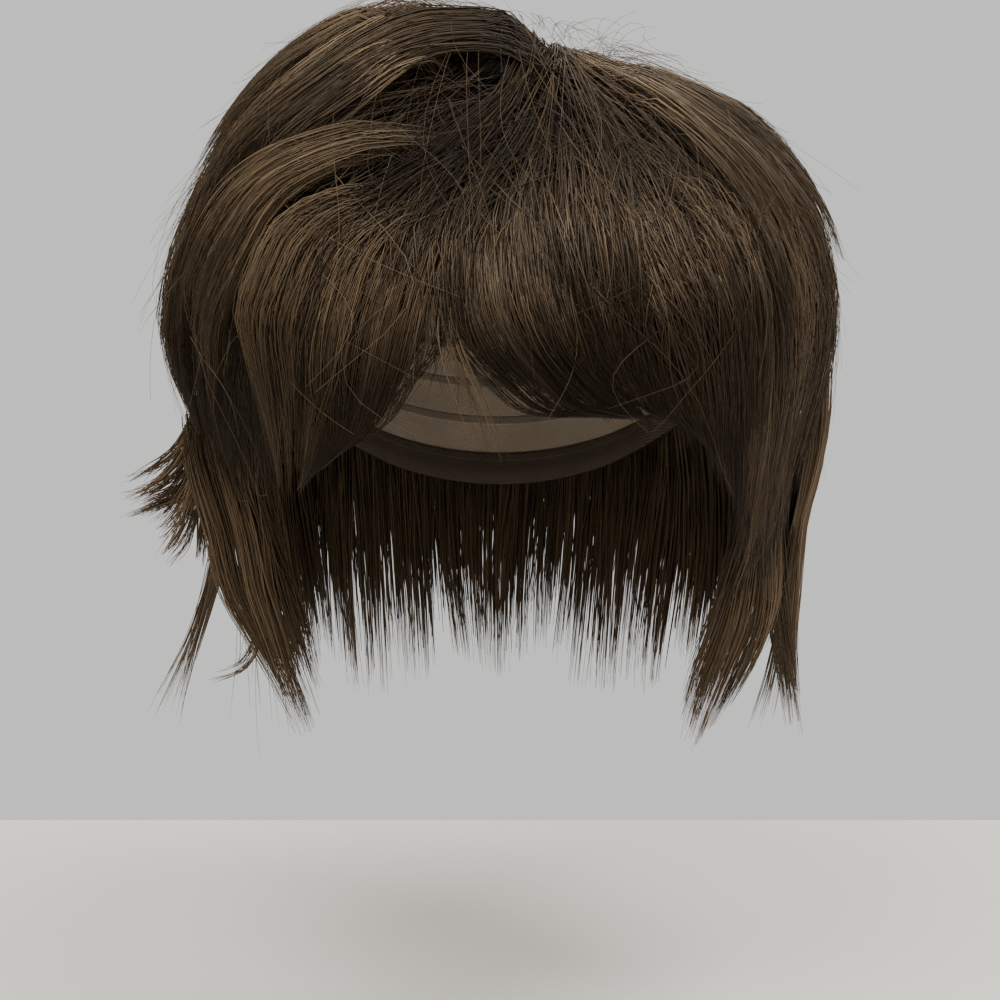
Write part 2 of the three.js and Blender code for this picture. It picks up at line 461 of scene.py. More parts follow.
@dataclass(frozen=True)
class FormTable:
    """Evenly spaced rows around the wig, read on a smooth curve.

    Args:
        columns: Column names, azimuth first.
        rows: Rows of numbers.
    """

    columns: tuple[str, ...]
    rows: tuple[tuple[float, ...], ...]

    def at(self, column: str, azimuth: np.ndarray) -> np.ndarray:
        """Read one column at any azimuths.

        Args:
            column: Column name.
            azimuth: Azimuths in degrees.

        Returns:
            The values.
        """
        values = np.array([row[self.columns.index(column)] for row in self.rows])
        step = self.rows[1][0] - self.rows[0][0]
        place = (azimuth - self.rows[0][0]) / step
        index = np.floor(place).astype(int)
        count = len(values)
        is_ring = count * step == 360
        near = [index + k for k in (-1, 0, 1, 2)]
        near = [k % count if is_ring else np.clip(k, 0, count - 1) for k in near]
        return smooth_through(*(values[k] for k in near), place - index)


@dataclass(frozen=True)
class FlowTable:
    """How the top layer runs: azimuths that guide hairs pass on their way down.

    Args:
        shares: Share of the length for each column.
        guides: A row of azimuths for each guide hair, all round the wig.
        lane: Column whose azimuth names the lane of a guide.
    """

    shares: tuple[float, ...] = (0.30, 0.40, 0.50, 0.60, 0.70, 0.85, 1.00)
    guides: tuple[tuple[float, ...], ...] = (
        (20, 8, -3, -8, -9.8, -11.2, -22),
        (22, 10, 0, -7.5, -9, -6, 8),
        (23, 12, 4, -1.5, -3, 1, 11),
        (24, 14, 10, 8, 8, 11, 22),
        (26, 20, 18, 18, 18.5, 20, 25),
        (25, 28, 34, 36, 38.5, 44, 50),
        (28, 46, 53, 55, 57, 61, 65),
        (45, 66, 74, 79, 83, 88, 92),
        (112, 120, 125, 128, 130, 130, 130),
        (195, 190, 186, 183, 181, 180, 180),
        (262, 248, 240, 235, 232, 230, 230),
        (290, 280, 272, 268, 266, 263, 262),
        (312, 302, 298, 296, 294, 289, 278),
        (346, 327, 316, 309, 306, 299, 290),
        (368, 348, 333, 322, 317, 309, 299),
        (374, 362, 346, 329, 323, 322, 320),
        (376, 364, 349, 337, 334, 332.5, 328),
        (378, 366, 352, 345.5, 344.5, 343.5, 337),
    )
    lane: int = 4

    def at(self, lane: np.ndarray, share: np.ndarray) -> np.ndarray:
        """Follow hairs between the guides.

        Args:
            lane: Lane of each hair.
            share: Shares of the length, hair by hair.

        Returns:
            Azimuths.
        """
        table = np.array(self.guides, dtype=float)
        ring = np.vstack([table, table[:1] + 360])
        lanes = ring[:, self.lane]
        turned = (lane - lanes[0]) % 360 + lanes[0]
        place = np.interp(turned, lanes, np.arange(len(lanes)))
        row = np.minimum(place.astype(int), len(lanes) - 2)
        mix = (place - row)[:, None]
        guide = ring[row] * (1 - mix) + ring[row + 1] * mix + (lane - turned)[:, None]
        last = len(self.shares) - 1
        step = np.interp(share, self.shares, np.arange(last + 1))
        index = np.minimum(step.astype(int), last - 1)
        near = [np.take_along_axis(guide, np.clip(index + k, 0, last), axis=1) for k in (-1, 0, 1, 2)]
        return smooth_through(*near, step - index)


@dataclass(frozen=True)
class Lock:
    """One lock of hair, as in the solids.

    Args:
        name: Node name.
        start: Azimuth of its first side.
        end: Azimuth of its other side.
        longer: How much longer than the hem of its layer it is.
        flare: How far its tip flares out.
        proud: How far it stands proud on the way.
        light: How much lighter than its neighbours it is: tone at most locks, painted highlight at the
            left temple and crown, painted shade at the right temple, the lock beside it and the sides.
        fade: How much of the tip colour is lost again at its very end.
    """

    name: str
    start: float
    end: float
    longer: float
    flare: float
    proud: float = 0.0
    light: float = 0.0
    fade: float = 0.0

    @property
    def middle(self) -> float:
        """Azimuth of the middle."""
        return (self.start + self.end) / 2

    @property
    def width(self) -> float:
        """Degrees across."""
        return self.end - self.start


ALL_ROUND = Lock("all_round", 0, 360, 0, 0)


@dataclass(frozen=True)
class HairForm:
    """The form that all the hair follows.

    Args:
        hollow: Half width, half depth and height of the cap's hollow, an ellipsoid.
        cap_wall: Thickness of the cap.
        whorl: Where the top layer fans out from.
        under_root: Thickness of the under layer at its roots.
        under_thick: Thickness of the under layer.
        under_mid: Height where the under layer comes out below the top layer.
        clear: Room between the cap and the hair.
        root_clear: Room between the roots of the under layer and the cap.
        edge_clear: How far below its edge the cap still holds the hair out.
        edge: Edge of the cap.
        top: Outside of the top layer.
        under: Outside of the under layer.
    """

    hollow: tuple[float, float, float] = (73.0, 92.0, 98.0)
    cap_wall: float = 1.2
    whorl: tuple[float, float, float] = (20.0, 14.0, 4.0)
    under_root: float = 2.0
    under_thick: float = 10.0
    under_mid: float = -122.0
    clear: float = 0.2
    root_clear: float = 0.5
    edge_clear: float = 3.0
    edge: FormTable = FormTable(
        ("azimuth", "z"),
        (
            (0, -45), (30, -52), (60, -70), (90, -88), (120, -110), (150, -131),
            (180, -138), (210, -131), (240, -110), (270, -88), (300, -70), (330, -52),
        ),
    )
    top: FormTable = FormTable(
        (
            "azimuth", "lift_out", "lift_z", "shoulder_out", "shoulder_z",
            "bulge_out", "bulge_z", "hem_out", "hem_z",
        ),
        (
            (0, 34, 13, 80, -27, 104, -66, 107, -98),
            (30, 36, 10, 84, -27, 105, -66, 104, -101),
            (60, 40, 6, 84, -24, 103, -68, 90, -146),
            (90, 43, 2, 82, -21, 103, -68, 98, -128),
            (120, 48, 4, 88, -22, 110, -70, 104, -124),
            (150, 50, 8, 96, -24, 119, -72, 108, -128),
            (180, 46, 13, 98, -22, 123, -74, 110, -130),
            (210, 40, 18, 96, -18, 121, -72, 108, -128),
            (240, 34, 21, 90, -12, 113, -70, 102, -122),
            (270, 32, 22, 80, -13, 104, -70, 94, -116),
            (300, 32, 20, 82, -18, 103, -70, 88, -120),
            (330, 34, 17, 82, -25, 104, -68, 100, -110),
        ),
    )
    under: FormTable = FormTable(
        ("azimuth", "root_z", "mid_out", "tip_out", "tip_z"),
        (
            (60, -84, 82, 66, -190),
            (90, -84, 86, 74, -203),
            (120, -88, 95, 86, -206),
            (150, -94, 103, 88, -203),
            (180, -98, 106, 84, -205),
            (210, -94, 104, 86, -203),
            (240, -88, 96, 88, -198),
            (270, -84, 86, 72, -200),
            (300, -84, 82, 66, -185),
        ),
    )

    def on_hollow(self, points: np.ndarray, grown: float) -> np.ndarray:
        """Move points onto the cap's hollow, along lines to its middle.

        Args:
            points: Points outside it.
            grown: Thickness to add to the hollow.

        Returns:
            Points on the grown hollow.
        """
        crown = self.hollow[2]
        rise = np.maximum(points[..., 2] + crown, 0)
        flat = np.stack([points[..., 0], points[..., 1], rise], axis=-1)
        scale = np.linalg.norm(flat / (np.array(self.hollow) + grown), axis=-1)
        held = flat / scale[..., None]
        held[..., 2] = np.where(rise > 0, held[..., 2] - crown, points[..., 2])
        return held

    def hollow_out(self, azimuth: np.ndarray, z: np.ndarray, grown: float) -> np.ndarray:
        """Measure how far out the cap's hollow reaches.

        Args:
            azimuth: Directions.
            z: Heights.
            grown: Thickness to add to the hollow.

        Returns:
            Distances from the middle.
        """
        angle = np.radians(azimuth)
        wide, deep, crown = (size + grown for size in self.hollow)
        rise = np.clip((z + self.hollow[2]) / crown, -1, 1)
        return np.sqrt((1 - rise**2) / ((np.sin(angle) / wide) ** 2 + (np.cos(angle) / deep) ** 2))

    def top_point(
        self, lock: Lock, azimuth: np.ndarray, share: np.ndarray, depth: np.ndarray
    ) -> np.ndarray:
        """Place points in the top layer.

        Args:
            lock: Lock that they belong to.
            azimuth: Azimuths.
            share: Shares of the length.
            depth: 0 on the cap, 1 on the outside.

        Returns:
            Points.
        """
        form = {column: self.top.at(column, azimuth) for column in self.top.columns[1:]}
        knots = [
            np.broadcast_to(np.array(self.whorl), (*azimuth.shape, 3)),
            polar(azimuth, form["lift_out"], form["lift_z"]),
            polar(azimuth, form["shoulder_out"] + lock.proud, form["shoulder_z"]),
            polar(azimuth, form["bulge_out"] + lock.proud, form["bulge_z"]),
            polar(azimuth, form["hem_out"] + lock.flare, form["hem_z"] - lock.longer),
        ]
        outer = along_knots(knots, share)
        inner = self.on_hollow(outer, self.cap_wall + self.clear)
        return inner + (outer - inner) * depth[..., None]

    def under_point(
        self, lock: Lock, azimuth: np.ndarray, share: np.ndarray, depth: np.ndarray
    ) -> np.ndarray:
        """Place points in the under layer.

        Args:
            lock: Lock that they belong to.
            azimuth: Azimuths.
            share: Shares of the length.
            depth: 0 inside, 1 on the outside.

        Returns:
            Points.
        """
        form = {column: self.under.at(column, azimuth % 360) for column in self.under.columns[1:]}
        root_grown = self.cap_wall + self.under_root + self.root_clear
        root_out = self.hollow_out(azimuth, form["root_z"], root_grown)
        knots = [
            polar(azimuth, root_out, form["root_z"]),
            polar(azimuth, form["mid_out"], np.full_like(azimuth, self.under_mid)),
            polar(azimuth, form["tip_out"] + lock.flare, form["tip_z"] - lock.longer),
        ]
        outer = along_knots(knots, share)
        out = np.hypot(outer[..., 0], outer[..., 1])
        thick = self.under_root + (self.under_thick - self.under_root) * ease(share, 0, 0.4)
        cap = self.hollow_out(azimuth, outer[..., 2], self.cap_wall + self.clear)
        is_over_cap = outer[..., 2] > self.edge.at("z", azimuth) - self.edge_clear
        inside = np.where(is_over_cap, np.maximum(out - thick, cap), out - thick)
        inner = outer * np.stack([inside / out, inside / out, np.ones_like(out)], axis=-1)
        return inner + (outer - inner) * depth[..., None]


# Strands, and how they vary in degrees of azimuth, in shares of a length and in millimetres

TUBE_SIDES = 3
FULL_TURN = 6.3
WISP_JITTER = 0.35
WISP_BLUR = 0.45
TOP_OVERLAP = 0.8
UNDER_OVERLAP = 1.0
CROSSING_SPREAD = 16
ROOT_SPREAD = 2.0
WHORL_START = 0.1
SHORTEST = 0.2
# Fillers are thick, dark strands inside the under layer: painted shade that fills the gaps between the
# locks.
FILLER_WIDTH = 2.4
FILLER_DARK = 0.6
STRIP_LOW = (0.12, 0.05)
STRIP_SIZE = (0.76, 0.86)
STRIP_BEND = 0.06


@dataclass
class Strands:
    """Polylines of hair with the same number of points each.

    Args:
        points: Places in millimetres, strand by strand.
        radius: Half thickness at each point.
        dark: How much of the root colour each point has.
        end: How much of the tip colour each point has.
        tint: Lightness of each strand.
        gold: How golden each strand is.
    """

    points: np.ndarray
    radius: np.ndarray
    dark: np.ndarray
    end: np.ndarray
    tint: np.ndarray
    gold: np.ndarray


@dataclass(frozen=True)
class StrandStyle:
    """How the strands of a tress are laid.

    Args:
        per_degree: Strands for each degree of azimuth.
        radius: Half thickness of a strand in millimetres.
        cover: Share of the strands that run on the outside.
        wisp: Degrees across one wisp.
        gather: How far the strands of a wisp close up at the tip.
        crossing: Share of the strands that start well aside and cross the others.
        high: Lowest and highest share where strands from the crown start.
        low: Lowest and highest share where strands from the lower rows start.
        rows: Share of the strands that start in the lower rows.
        whorl: Share of the strands that start at the whorl.
        filler: Share of the strands that are thick and dark, inside the others: painted shade that fills
            the gaps.
        dark_root_and_shade: Shares between which the root colour fades, apart from strands of the lower
            rows: dark roots, and in the under layer painted shade beneath the top layer.
        shaded_ends: How much of the tip colour the ends have, painted shade of the lower hair.
        ending: Shares of a strand between which the tip colour comes in.
        fray: How uneven the ends are.
        short: Share of the strands that end early.
        taper: Power of the thinning towards the tip, higher for a later one.
        steps: Points on a strand.
    """

    per_degree: float
    radius: float = 0.2
    cover: float = 0.62
    wisp: float = 3.6
    gather: float = 0.55
    crossing: float = 0.1
    high: tuple[float, float] = (0.03, 0.34)
    low: tuple[float, float] = (0.2, 0.6)
    rows: float = 0.4
    whorl: float = 0.12
    filler: float = 0.0
    dark_root_and_shade: tuple[float, float] = (0.06, 0.36)
    shaded_ends: float = 1.0
    ending: tuple[float, float] = (0.28, 0.88)
    fray: float = 0.045
    short: float = 0.2
    taper: float = 3.0
    steps: int = 11


class Place(Enum):
    """What the points of a spray mean."""

    FORM = "azimuth, share and depth in the top layer"
    SPACE = "x, y and z in millimetres"


@dataclass(frozen=True)
class Spray:
    """A loose flat bunch of hair between two edges.

    Args:
        place: What the points of the edges mean.
        first: Points along one edge.
        other: Points along the other edge.
        count: Number of strands.
        cut: Share of the way where the strands of each edge end.
        thick: How far strands stand off the bunch, in depth or millimetres.
        fine: Thickness of its strands as a share of those of the locks.
        gold: How much more golden than its neighbours it is; in the golden bunches partly painted
            highlight.
        light: How much lighter than its neighbours it is: tone in the tiles, partly painted highlight in
            the golden bunches, painted shade in the dark bunches inside and along the lower fringe.
        wisps: Number of wisps.
        gather: How far the strands of a wisp close up.
        lean: Below 1 where the wisps crowd to the other edge.
        fray: How uneven the ends are.
        late: Latest share of the way where strands start.
        rise: Share of a strand over which it comes up from its root.
        dark_root_and_shade: Share of a strand over which the root colour fades: dark roots, partly painted
            shade where the bunch starts beneath other hair.
        shaded_ends: How much of the tip colour the ends have, painted shade of the lower hair.
        ending: Shares of a strand between which the tip colour comes in.
        steps: Points on a strand.
    """

    place: Place
    first: tuple[tuple[float, float, float], ...]
    other: tuple[tuple[float, float, float], ...]
    count: int
    cut: tuple[float, float] = (1.0, 1.0)
    thick: float = 0.04
    fine: float = 1.0
    gold: float = 0.0
    light: float = 0.0
    wisps: int = 7
    gather: float = 0.55
    lean: float = 1.0
    fray: float = 0.07
    late: float = 0.22
    rise: float = 0.25
    dark_root_and_shade: float = 0.25
    shaded_ends: float = 0.25
    ending: tuple[float, float] = (0.3, 0.85)
    steps: int = 12


class StrandSkin(NodeTree):
    """Geometry Nodes tree that turns polylines into thin closed tubes.

    Args:
        name: Name of the tree.
    """

    def __init__(self, name: str) -> None:
        """Start the tree with its named inputs."""
        super().__init__(bpy.data.node_groups.new(name, "GeometryNodeTree"))
        panel = self.tree.interface
        panel.new_socket("Geometry", in_out="INPUT", socket_type="NodeSocketGeometry")
        self.sides = panel.new_socket("Sides", in_out="INPUT", socket_type="NodeSocketInt")
        self.finish = panel.new_socket("Finish", in_out="INPUT", socket_type="NodeSocketMaterial")
        panel.new_socket("Geometry", in_out="OUTPUT", socket_type="NodeSocketGeometry")
        self._grow()

    def _grow(self) -> None:
        """Build the tree."""
        given = self.node("NodeGroupInput", {}, {})
        curve = self.node("GeometryNodeMeshToCurve", {}, {"Mesh": given.outputs["Geometry"]})
        radius = self.node("GeometryNodeInputNamedAttribute", {"data_type": "FLOAT"}, {"Name": "thick"})
        circle = {"Resolution": given.outputs["Sides"], "Radius": MM}
        ring = self.node("GeometryNodeCurvePrimitiveCircle", {}, circle)
        place = self.node("GeometryNodeSplineParameter", {}, {})
        marked = self.node(
            "GeometryNodeStoreNamedAttribute",
            {"data_type": "FLOAT", "domain": "POINT"},
            {"Geometry": ring.outputs["Curve"], "Name": "around", "Value": place.outputs["Factor"]},
        )
        tube = self.node(
            "GeometryNodeCurveToMesh",
            {},
            {
                "Curve": curve.outputs["Curve"],
                "Profile Curve": marked.outputs["Geometry"],
                "Scale": radius.outputs["Attribute"],
                "Fill Caps": True,
            },
        )
        smooth = self.node("GeometryNodeSetShadeSmooth", {}, {"Geometry": tube.outputs["Mesh"]})
        real = self.node("GeometryNodeRealizeInstances", {}, {"Geometry": smooth.outputs["Geometry"]})
        dressed = self.node(
            "GeometryNodeSetMaterial",
            {},
            {"Geometry": real.outputs["Geometry"], "Material": given.outputs["Finish"]},
        )
        self.node("NodeGroupOutput", {}, {"Geometry": dressed.outputs["Geometry"]})

    def cover(self, piece: bpy.types.Object, finish: bpy.types.Material, sides: int) -> None:
        """Turn the polylines of a piece into tubes.

        Args:
            piece: Object whose mesh holds the polylines.
            finish: Material of the tubes.
            sides: Sides of a tube.
        """
        modifier = piece.modifiers.new("strand_skin", "NODES")
        modifier.node_group = self.tree
        modifier[self.sides.identifier] = sides
        modifier[self.finish.identifier] = finish
        graph = bpy.context.evaluated_depsgraph_get()
        mesh = bpy.data.meshes.new_from_object(
            piece.evaluated_get(graph), preserve_all_data_layers=True, depsgraph=graph
        )
        piece.modifiers.clear()
        lines = piece.data
        piece.data = mesh
        bpy.data.meshes.remove(lines)
        mesh.name = piece.name


@dataclass
class Tress:
    """A group of locks that makes one piece of hair.

    Args:
        name: Name of the piece.
        layer: Layer that the locks belong to.
        locks: The locks.
        style: How the strands are laid.
        seed: Seed of the tress.
        sprays: Loose bunches that lie over the locks.
        layers: Number of short bunches that lie over the locks like tiles.
        extra_nodes: Further nodes that the piece stands for.
        form: Form that the hair follows.
        flow: How the top layer runs.
    """

    name: str
    layer: Layer
    locks: Sequence[Lock]
    style: StrandStyle
    seed: int
    sprays: Sequence[Spray] = ()
    layers: int = 0
    extra_nodes: tuple[str, ...] = ()
    form: HairForm = field(default_factory=HairForm)
    flow: FlowTable = field(default_factory=FlowTable)

    def strands(self) -> list[Strands]:
        """Lay the strands of all locks and sprays.

        Returns:
            One family for each lock and spray.
        """
        rng = np.random.default_rng(self.seed)
        lay = self._top_lock if self.layer is Layer.TOP else self._under_lock
        families = [lay(lock, rng) for lock in self.locks]
        tiles = [self._tile(k, rng) for k in range(self.layers)]
        return families + [self._spray(spray, rng) for spray in (*tiles, *self.sprays)]

    def _wisps(
        self, lock: Lock, root: np.ndarray, rng: np.random.Generator
    ) -> tuple[np.ndarray, np.ndarray]:
        """Share the strands of a lock out among its wisps.

        Args:
            lock: The lock.
            root: Azimuths of the roots.
            rng: Source of chance.

        Returns:
            Wisp of each strand, and azimuth of the middle of each wisp.
        """
        count = max(2, round(lock.width / self.style.wisp))
        spaced = (np.arange(count) + 0.5) / count
        middle = lock.start + lock.width * (spaced + rng.uniform(-WISP_JITTER, WISP_JITTER, count) / count)
        blurred = root + rng.normal(0, WISP_BLUR * lock.width / count, len(root))
        nearest = np.abs(blurred[:, None] - middle[None, :]).argmin(axis=1)
        return nearest, middle

    def _top_lock(self, lock: Lock, rng: np.random.Generator) -> Strands:
        """Lay the strands of one lock of the top layer.

        Args:
            lock: The lock.
            rng: Source of chance.

        Returns:
            Its strands.
        """
        style = self.style
        count = round(lock.width * style.per_degree)
        root = rng.uniform(lock.start - TOP_OVERLAP, lock.end + TOP_OVERLAP, count)
        wisp, middle = self._wisps(lock, root, rng)
        wisps = len(middle)
        covers = rng.random(count) < style.cover
        is_low = rng.random(count) < style.rows
        gather = style.gather * rng.uniform(0.4, 1.3, wisps)[wisp]
        tip = middle[wisp] + (root - middle[wisp]) * (1 - gather)
        tip += rng.normal(0, 0.9, wisps)[wisp] + rng.normal(0, 0.3, count)
        crosses = (rng.random(count) < style.crossing) & ~is_low
        aside = np.where(crosses, rng.normal(0, CROSSING_SPREAD, count), rng.normal(0, ROOT_SPREAD, count))
        first = np.where(is_low, rng.uniform(*style.low, count), rng.uniform(*style.high, count))
        first = np.where(rng.random(count) < style.whorl, rng.uniform(0.0, WHORL_START, count), first)
        last = 1.0 - np.abs(rng.normal(0, style.fray, count)) + rng.normal(0, 0.02, wisps)[wisp]
        last -= 0.05 * np.minimum(np.abs(root - middle[wisp]) / style.wisp, 1)
        is_short = rng.random(count) < style.short
        last = np.where(is_short, last - rng.uniform(0.04, 0.3, count), last)
        last = np.maximum(last, first + SHORTEST)
        deep = np.where(covers, rng.uniform(0.76, 0.93, count), rng.uniform(0.28, 0.84, count))
        deep += rng.normal(0, 0.03, wisps)[wisp]
        t = np.linspace(0, 1, style.steps)[None, :]
        share = first[:, None] + (last - first)[:, None] * t
        azimuth = self.flow.at(root, share) + aside[:, None] * (1 - ease(t, 0.0, 0.75))
        azimuth = azimuth + (tip - root)[:, None] * ease(share, 0.4, 1.0)
        phase = rng.uniform(0, FULL_TURN, wisps)[wisp][:, None]
        wave = rng.normal(0, 1.0, wisps)[wisp][:, None] * np.sin(2.6 * t + phase)
        sway = rng.normal(0, 0.8, count)[:, None]
        own = sway * np.sin(3.6 * t + rng.uniform(0, FULL_TURN, count)[:, None])
        azimuth = azimuth + wave * t + own
        rise = np.where(is_low[:, None], ease(t, -0.08, 0.28), 0.12 + 0.88 * ease(t, -0.1, 0.34))
        inward = (0.72 - deep)[:, None] * 0.6 * ease(share, 0.84, 1.0)
        lifted = np.where(is_short, rng.uniform(0, 0.1, count), 0)[:, None] * t**3
        depth = (deep[:, None] * rise + inward + lifted) * self._sunk(azimuth, share)
        points = self.form.top_point(lock, azimuth, share, depth)
        points = points + self._stir(points, 1.0) * ease(t, 0, 0.5)[..., None]
        late = rng.uniform(0.6, 1.4, count)[:, None]
        low_dark = 1 - ease(share - first[:, None], 0.0, 0.06 * late)
        high_dark = 1 - ease(share + 0.06 * (late - 1), *style.dark_root_and_shade)
        dark = np.where(is_low[:, None], low_dark, high_dark)
        # Painted shade: the ends take the dark tip colour.
        end = style.shaded_ends * ease(t, *style.ending) * (1 - lock.fade * ease(t, 0.58, 0.84))
        family = self._family(points, dark, end, wisp, wisps, rng)
        family.tint = np.clip(family.tint + lock.light, 0, 1)
        return family

    def _sunk(self, azimuth: np.ndarray, share: np.ndarray) -> np.ndarray:
        """Sink the roots in front of the whorl and left of it.

        Args:
            azimuth: Azimuths.
            share: Shares of the length.

        Returns:
            What to multiply the depth by.
        """
        turned = (azimuth + 180) % 360 - 180
        is_beside = ease(turned, 0, 32) * (1 - ease(turned, 125, 175))
        return 1 - 0.55 * is_beside * (1 - ease(share, 0.12, 0.44))

    def _under_lock(self, lock: Lock, rng: np.random.Generator) -> Strands:
        """Lay the strands of one lock of the under layer.

        Args:
            lock: The lock.
            rng: Source of chance.

        Returns:
            Its strands.
        """
        style = self.style
        count = round(lock.width * style.per_degree)
        root = rng.uniform(lock.start - UNDER_OVERLAP, lock.end + UNDER_OVERLAP, count)
        wisp, middle = self._wisps(lock, root, rng)
        wisps = len(middle)
        narrow = lock.middle + (middle - lock.middle) * (1 - 0.25 * style.gather)
        gather = style.gather * rng.uniform(0.5, 1.3, wisps)[wisp]
        loose = 2.5 * style.gather
        fills = rng.random(count) < style.filler
        tip = narrow[wisp] + (root - middle[wisp]) * (1 - gather) + rng.normal(0, loose, wisps)[wisp]
        tip = np.where(fills, root + rng.normal(0, 1.0, count), tip)
        first = 0.25 * rng.random(count)
        last = 1.0 - 0.12 * style.gather * (2 * (tip - lock.middle) / lock.width) ** 2
        last = last - np.abs(rng.normal(0, style.fray, count)) + rng.normal(0, 0.04, wisps)[wisp]
        last = np.where(rng.random(count) < style.short, last - rng.uniform(0.04, 0.22, count), last)
        last = np.where(fills, last - rng.uniform(0.02, 0.14, count), last)
        deep = rng.uniform(0, 1, count)
        t = np.linspace(0, 1, style.steps)[None, :]
        azimuth = root[:, None] + (tip - root)[:, None] * ease(t, 0.3, 1.0)
        phase = rng.uniform(0, FULL_TURN, wisps)[wisp][:, None]
        wave = np.where(fills, 0.0, rng.normal(0, loose, wisps)[wisp])[:, None] * np.sin(3 * t + phase)
        azimuth = azimuth + wave * t + rng.normal(0, 0.6, count)[:, None] * np.sin(5 * t + root[:, None])
        share = first[:, None] + (last - first)[:, None] * t
        closed = (rng.uniform(0.2, 0.9, wisps)[wisp] - deep)[:, None] * 0.7 * ease(t, 0.35, 1.0)
        points = self.form.under_point(lock, azimuth, share, deep[:, None] + closed)
        points = points + self._stir(points, 1.6) * ease(t, 0, 0.6)[..., None]
        # Painted shade: fillers stay dark all along, and the under layer is dark near its roots, partly
        # dark roots and partly the shade beneath the top layer.
        dark = np.where(fills[:, None], FILLER_DARK, 1 - ease(share, *style.dark_root_and_shade))
        family = self._family(points, dark, ease(t, 0.7, 1.0), wisp, wisps, rng)
        family.radius = family.radius * np.where(fills, FILLER_WIDTH, 1.0)[:, None]
        family.tint = np.clip(family.tint + lock.light, 0, 1)
        return family

    def _tile(self, index: int, rng: np.random.Generator) -> Spray:
        """Plan one short bunch that lies over the locks and follows their flow.

        Args:
            index: Number of the bunch.
            rng: Source of chance.

        Returns:
            The bunch.
        """
        start, end = self.locks[0].start, self.locks[-1].end
        middle = start + (end - start) * (index + rng.uniform(0.3, 0.7)) / self.layers
        half = rng.uniform(5.5, 9.0)
        first = rng.uniform(0.16, 0.4)
        share = np.linspace(first, first + rng.uniform(0.3, 0.42), 6)
        depth = (0.6, 0.86, 0.95, 0.99, 1.02, 1.05)
        edges = []
        for side in (-half, half):
            lane = self.flow.at(np.array([middle + side]), share[None, :])[0]
            edges.append(tuple(zip(lane.tolist(), share.tolist(), depth)))
        light = rng.uniform(-0.05, 0.12)
        style = {"wisps": 7, "fray": 0.18, "late": 0.3, "shaded_ends": 0.5, "steps": 9}
        return Spray(Place.FORM, edges[0], edges[1], count=90, gold=0.12, light=light, **style)

    def _spray(self, spray: Spray, rng: np.random.Generator) -> Strands:
        """Lay the strands of a loose bunch.

        Args:
            spray: The bunch.
            rng: Source of chance.

        Returns:
            Its strands.
        """
        count, wisps = spray.count, spray.wisps
        t = np.linspace(0, 1, spray.steps)[None, :]
        wisp = rng.integers(0, wisps, count)
        middle = ((np.arange(wisps) + rng.uniform(0.2, 0.8, wisps)) / wisps) ** spray.lean
        across = np.clip(middle[wisp] + rng.normal(0, 0.75 / wisps, count), 0, 1)
        closed = (middle[wisp] - across) * spray.gather * rng.uniform(0.5, 1.5, wisps)[wisp]
        sway = rng.normal(0, 0.05, count)[:, None]
        drift = sway * np.sin(4 * t + rng.uniform(0, FULL_TURN, count)[:, None])
        across = np.clip(across[:, None] + closed[:, None] * t**1.5 + drift, -0.04, 1.04)
        ends = spray.cut[0] + (spray.cut[1] - spray.cut[0]) * across[:, -1]
        ends = ends * (1 - np.abs(rng.normal(0, spray.fray, count)))
        ends = ends * (1 + rng.uniform(-1.2, 0.5, wisps)[wisp] * spray.fray)
        starts = rng.uniform(0, spray.late, count)
        way = np.minimum(starts[:, None] + (ends - starts)[:, None] * t, 1.06)
        path = along_path(spray.first, way) * (1 - across[..., None])
        path = path + along_path(spray.other, way) * across[..., None]
        off = (rng.normal(0, 0.5, count) + rng.normal(0, 0.5, wisps)[wisp])[:, None] * spray.thick
        if spray.place is Place.FORM:
            wave = rng.normal(0, 0.8, wisps)[wisp][:, None] * np.sin(3 * t + across)
            depth = path[..., 2] * (0.35 + 0.65 * ease(t, -0.05, spray.rise)) + off
            depth = depth * self._sunk(path[..., 0], path[..., 1])
            points = self.form.top_point(ALL_ROUND, path[..., 0] + wave, path[..., 1], depth)
            points = points + self._stir(points, 0.8)
            # Dark at the start: dark roots, partly painted shade beneath the hair above. The ends take the
            # dark tip colour, painted shade.
            dark, end = 0.95 * (1 - ease(t, 0.0, spray.dark_root_and_shade)), spray.shaded_ends * ease(t, *spray.ending)
        else:
            loose = off[..., None] * np.array([0.4, 1.0, 0.2])
            points = path + loose + self._stir(path, 1.2) * t[..., None]
            # Dark at the start: dark roots, partly painted shade beneath the top layer.
            dark = 0.6 * (1 - ease(way, spray.dark_root_and_shade - 0.25, spray.dark_root_and_shade + 0.15))
            end = 0.4 * ease(t, 0.7, 1.0)
        family = self._family(points, np.broadcast_to(dark, way.shape), end, wisp, wisps, rng)
        family.radius = family.radius * spray.fine
        family.gold = np.clip(family.gold + spray.gold, 0, 1)
        family.tint = np.clip(family.tint + spray.light, 0, 1)
        return family

    def _stir(self, points: np.ndarray, size: float) -> np.ndarray:
        """Move points a little, alike for neighbours.

        Args:
            points: Points.
            size: Largest move in millimetres.

        Returns:
            Moves.
        """
        x, y, z = (points[..., k] for k in range(3))
        waves = [
            np.sin(x / 9.0 + z / 23.0) + np.sin(y / 13.0 - z / 17.0),
            np.sin(y / 8.0 + z / 21.0) + np.sin(x / 12.0 + z / 19.0 + 2.0),
            0.5 * np.sin(x / 11.0 + y / 14.0 + 1.0),
        ]
        return 0.5 * size * np.stack(waves, axis=-1)

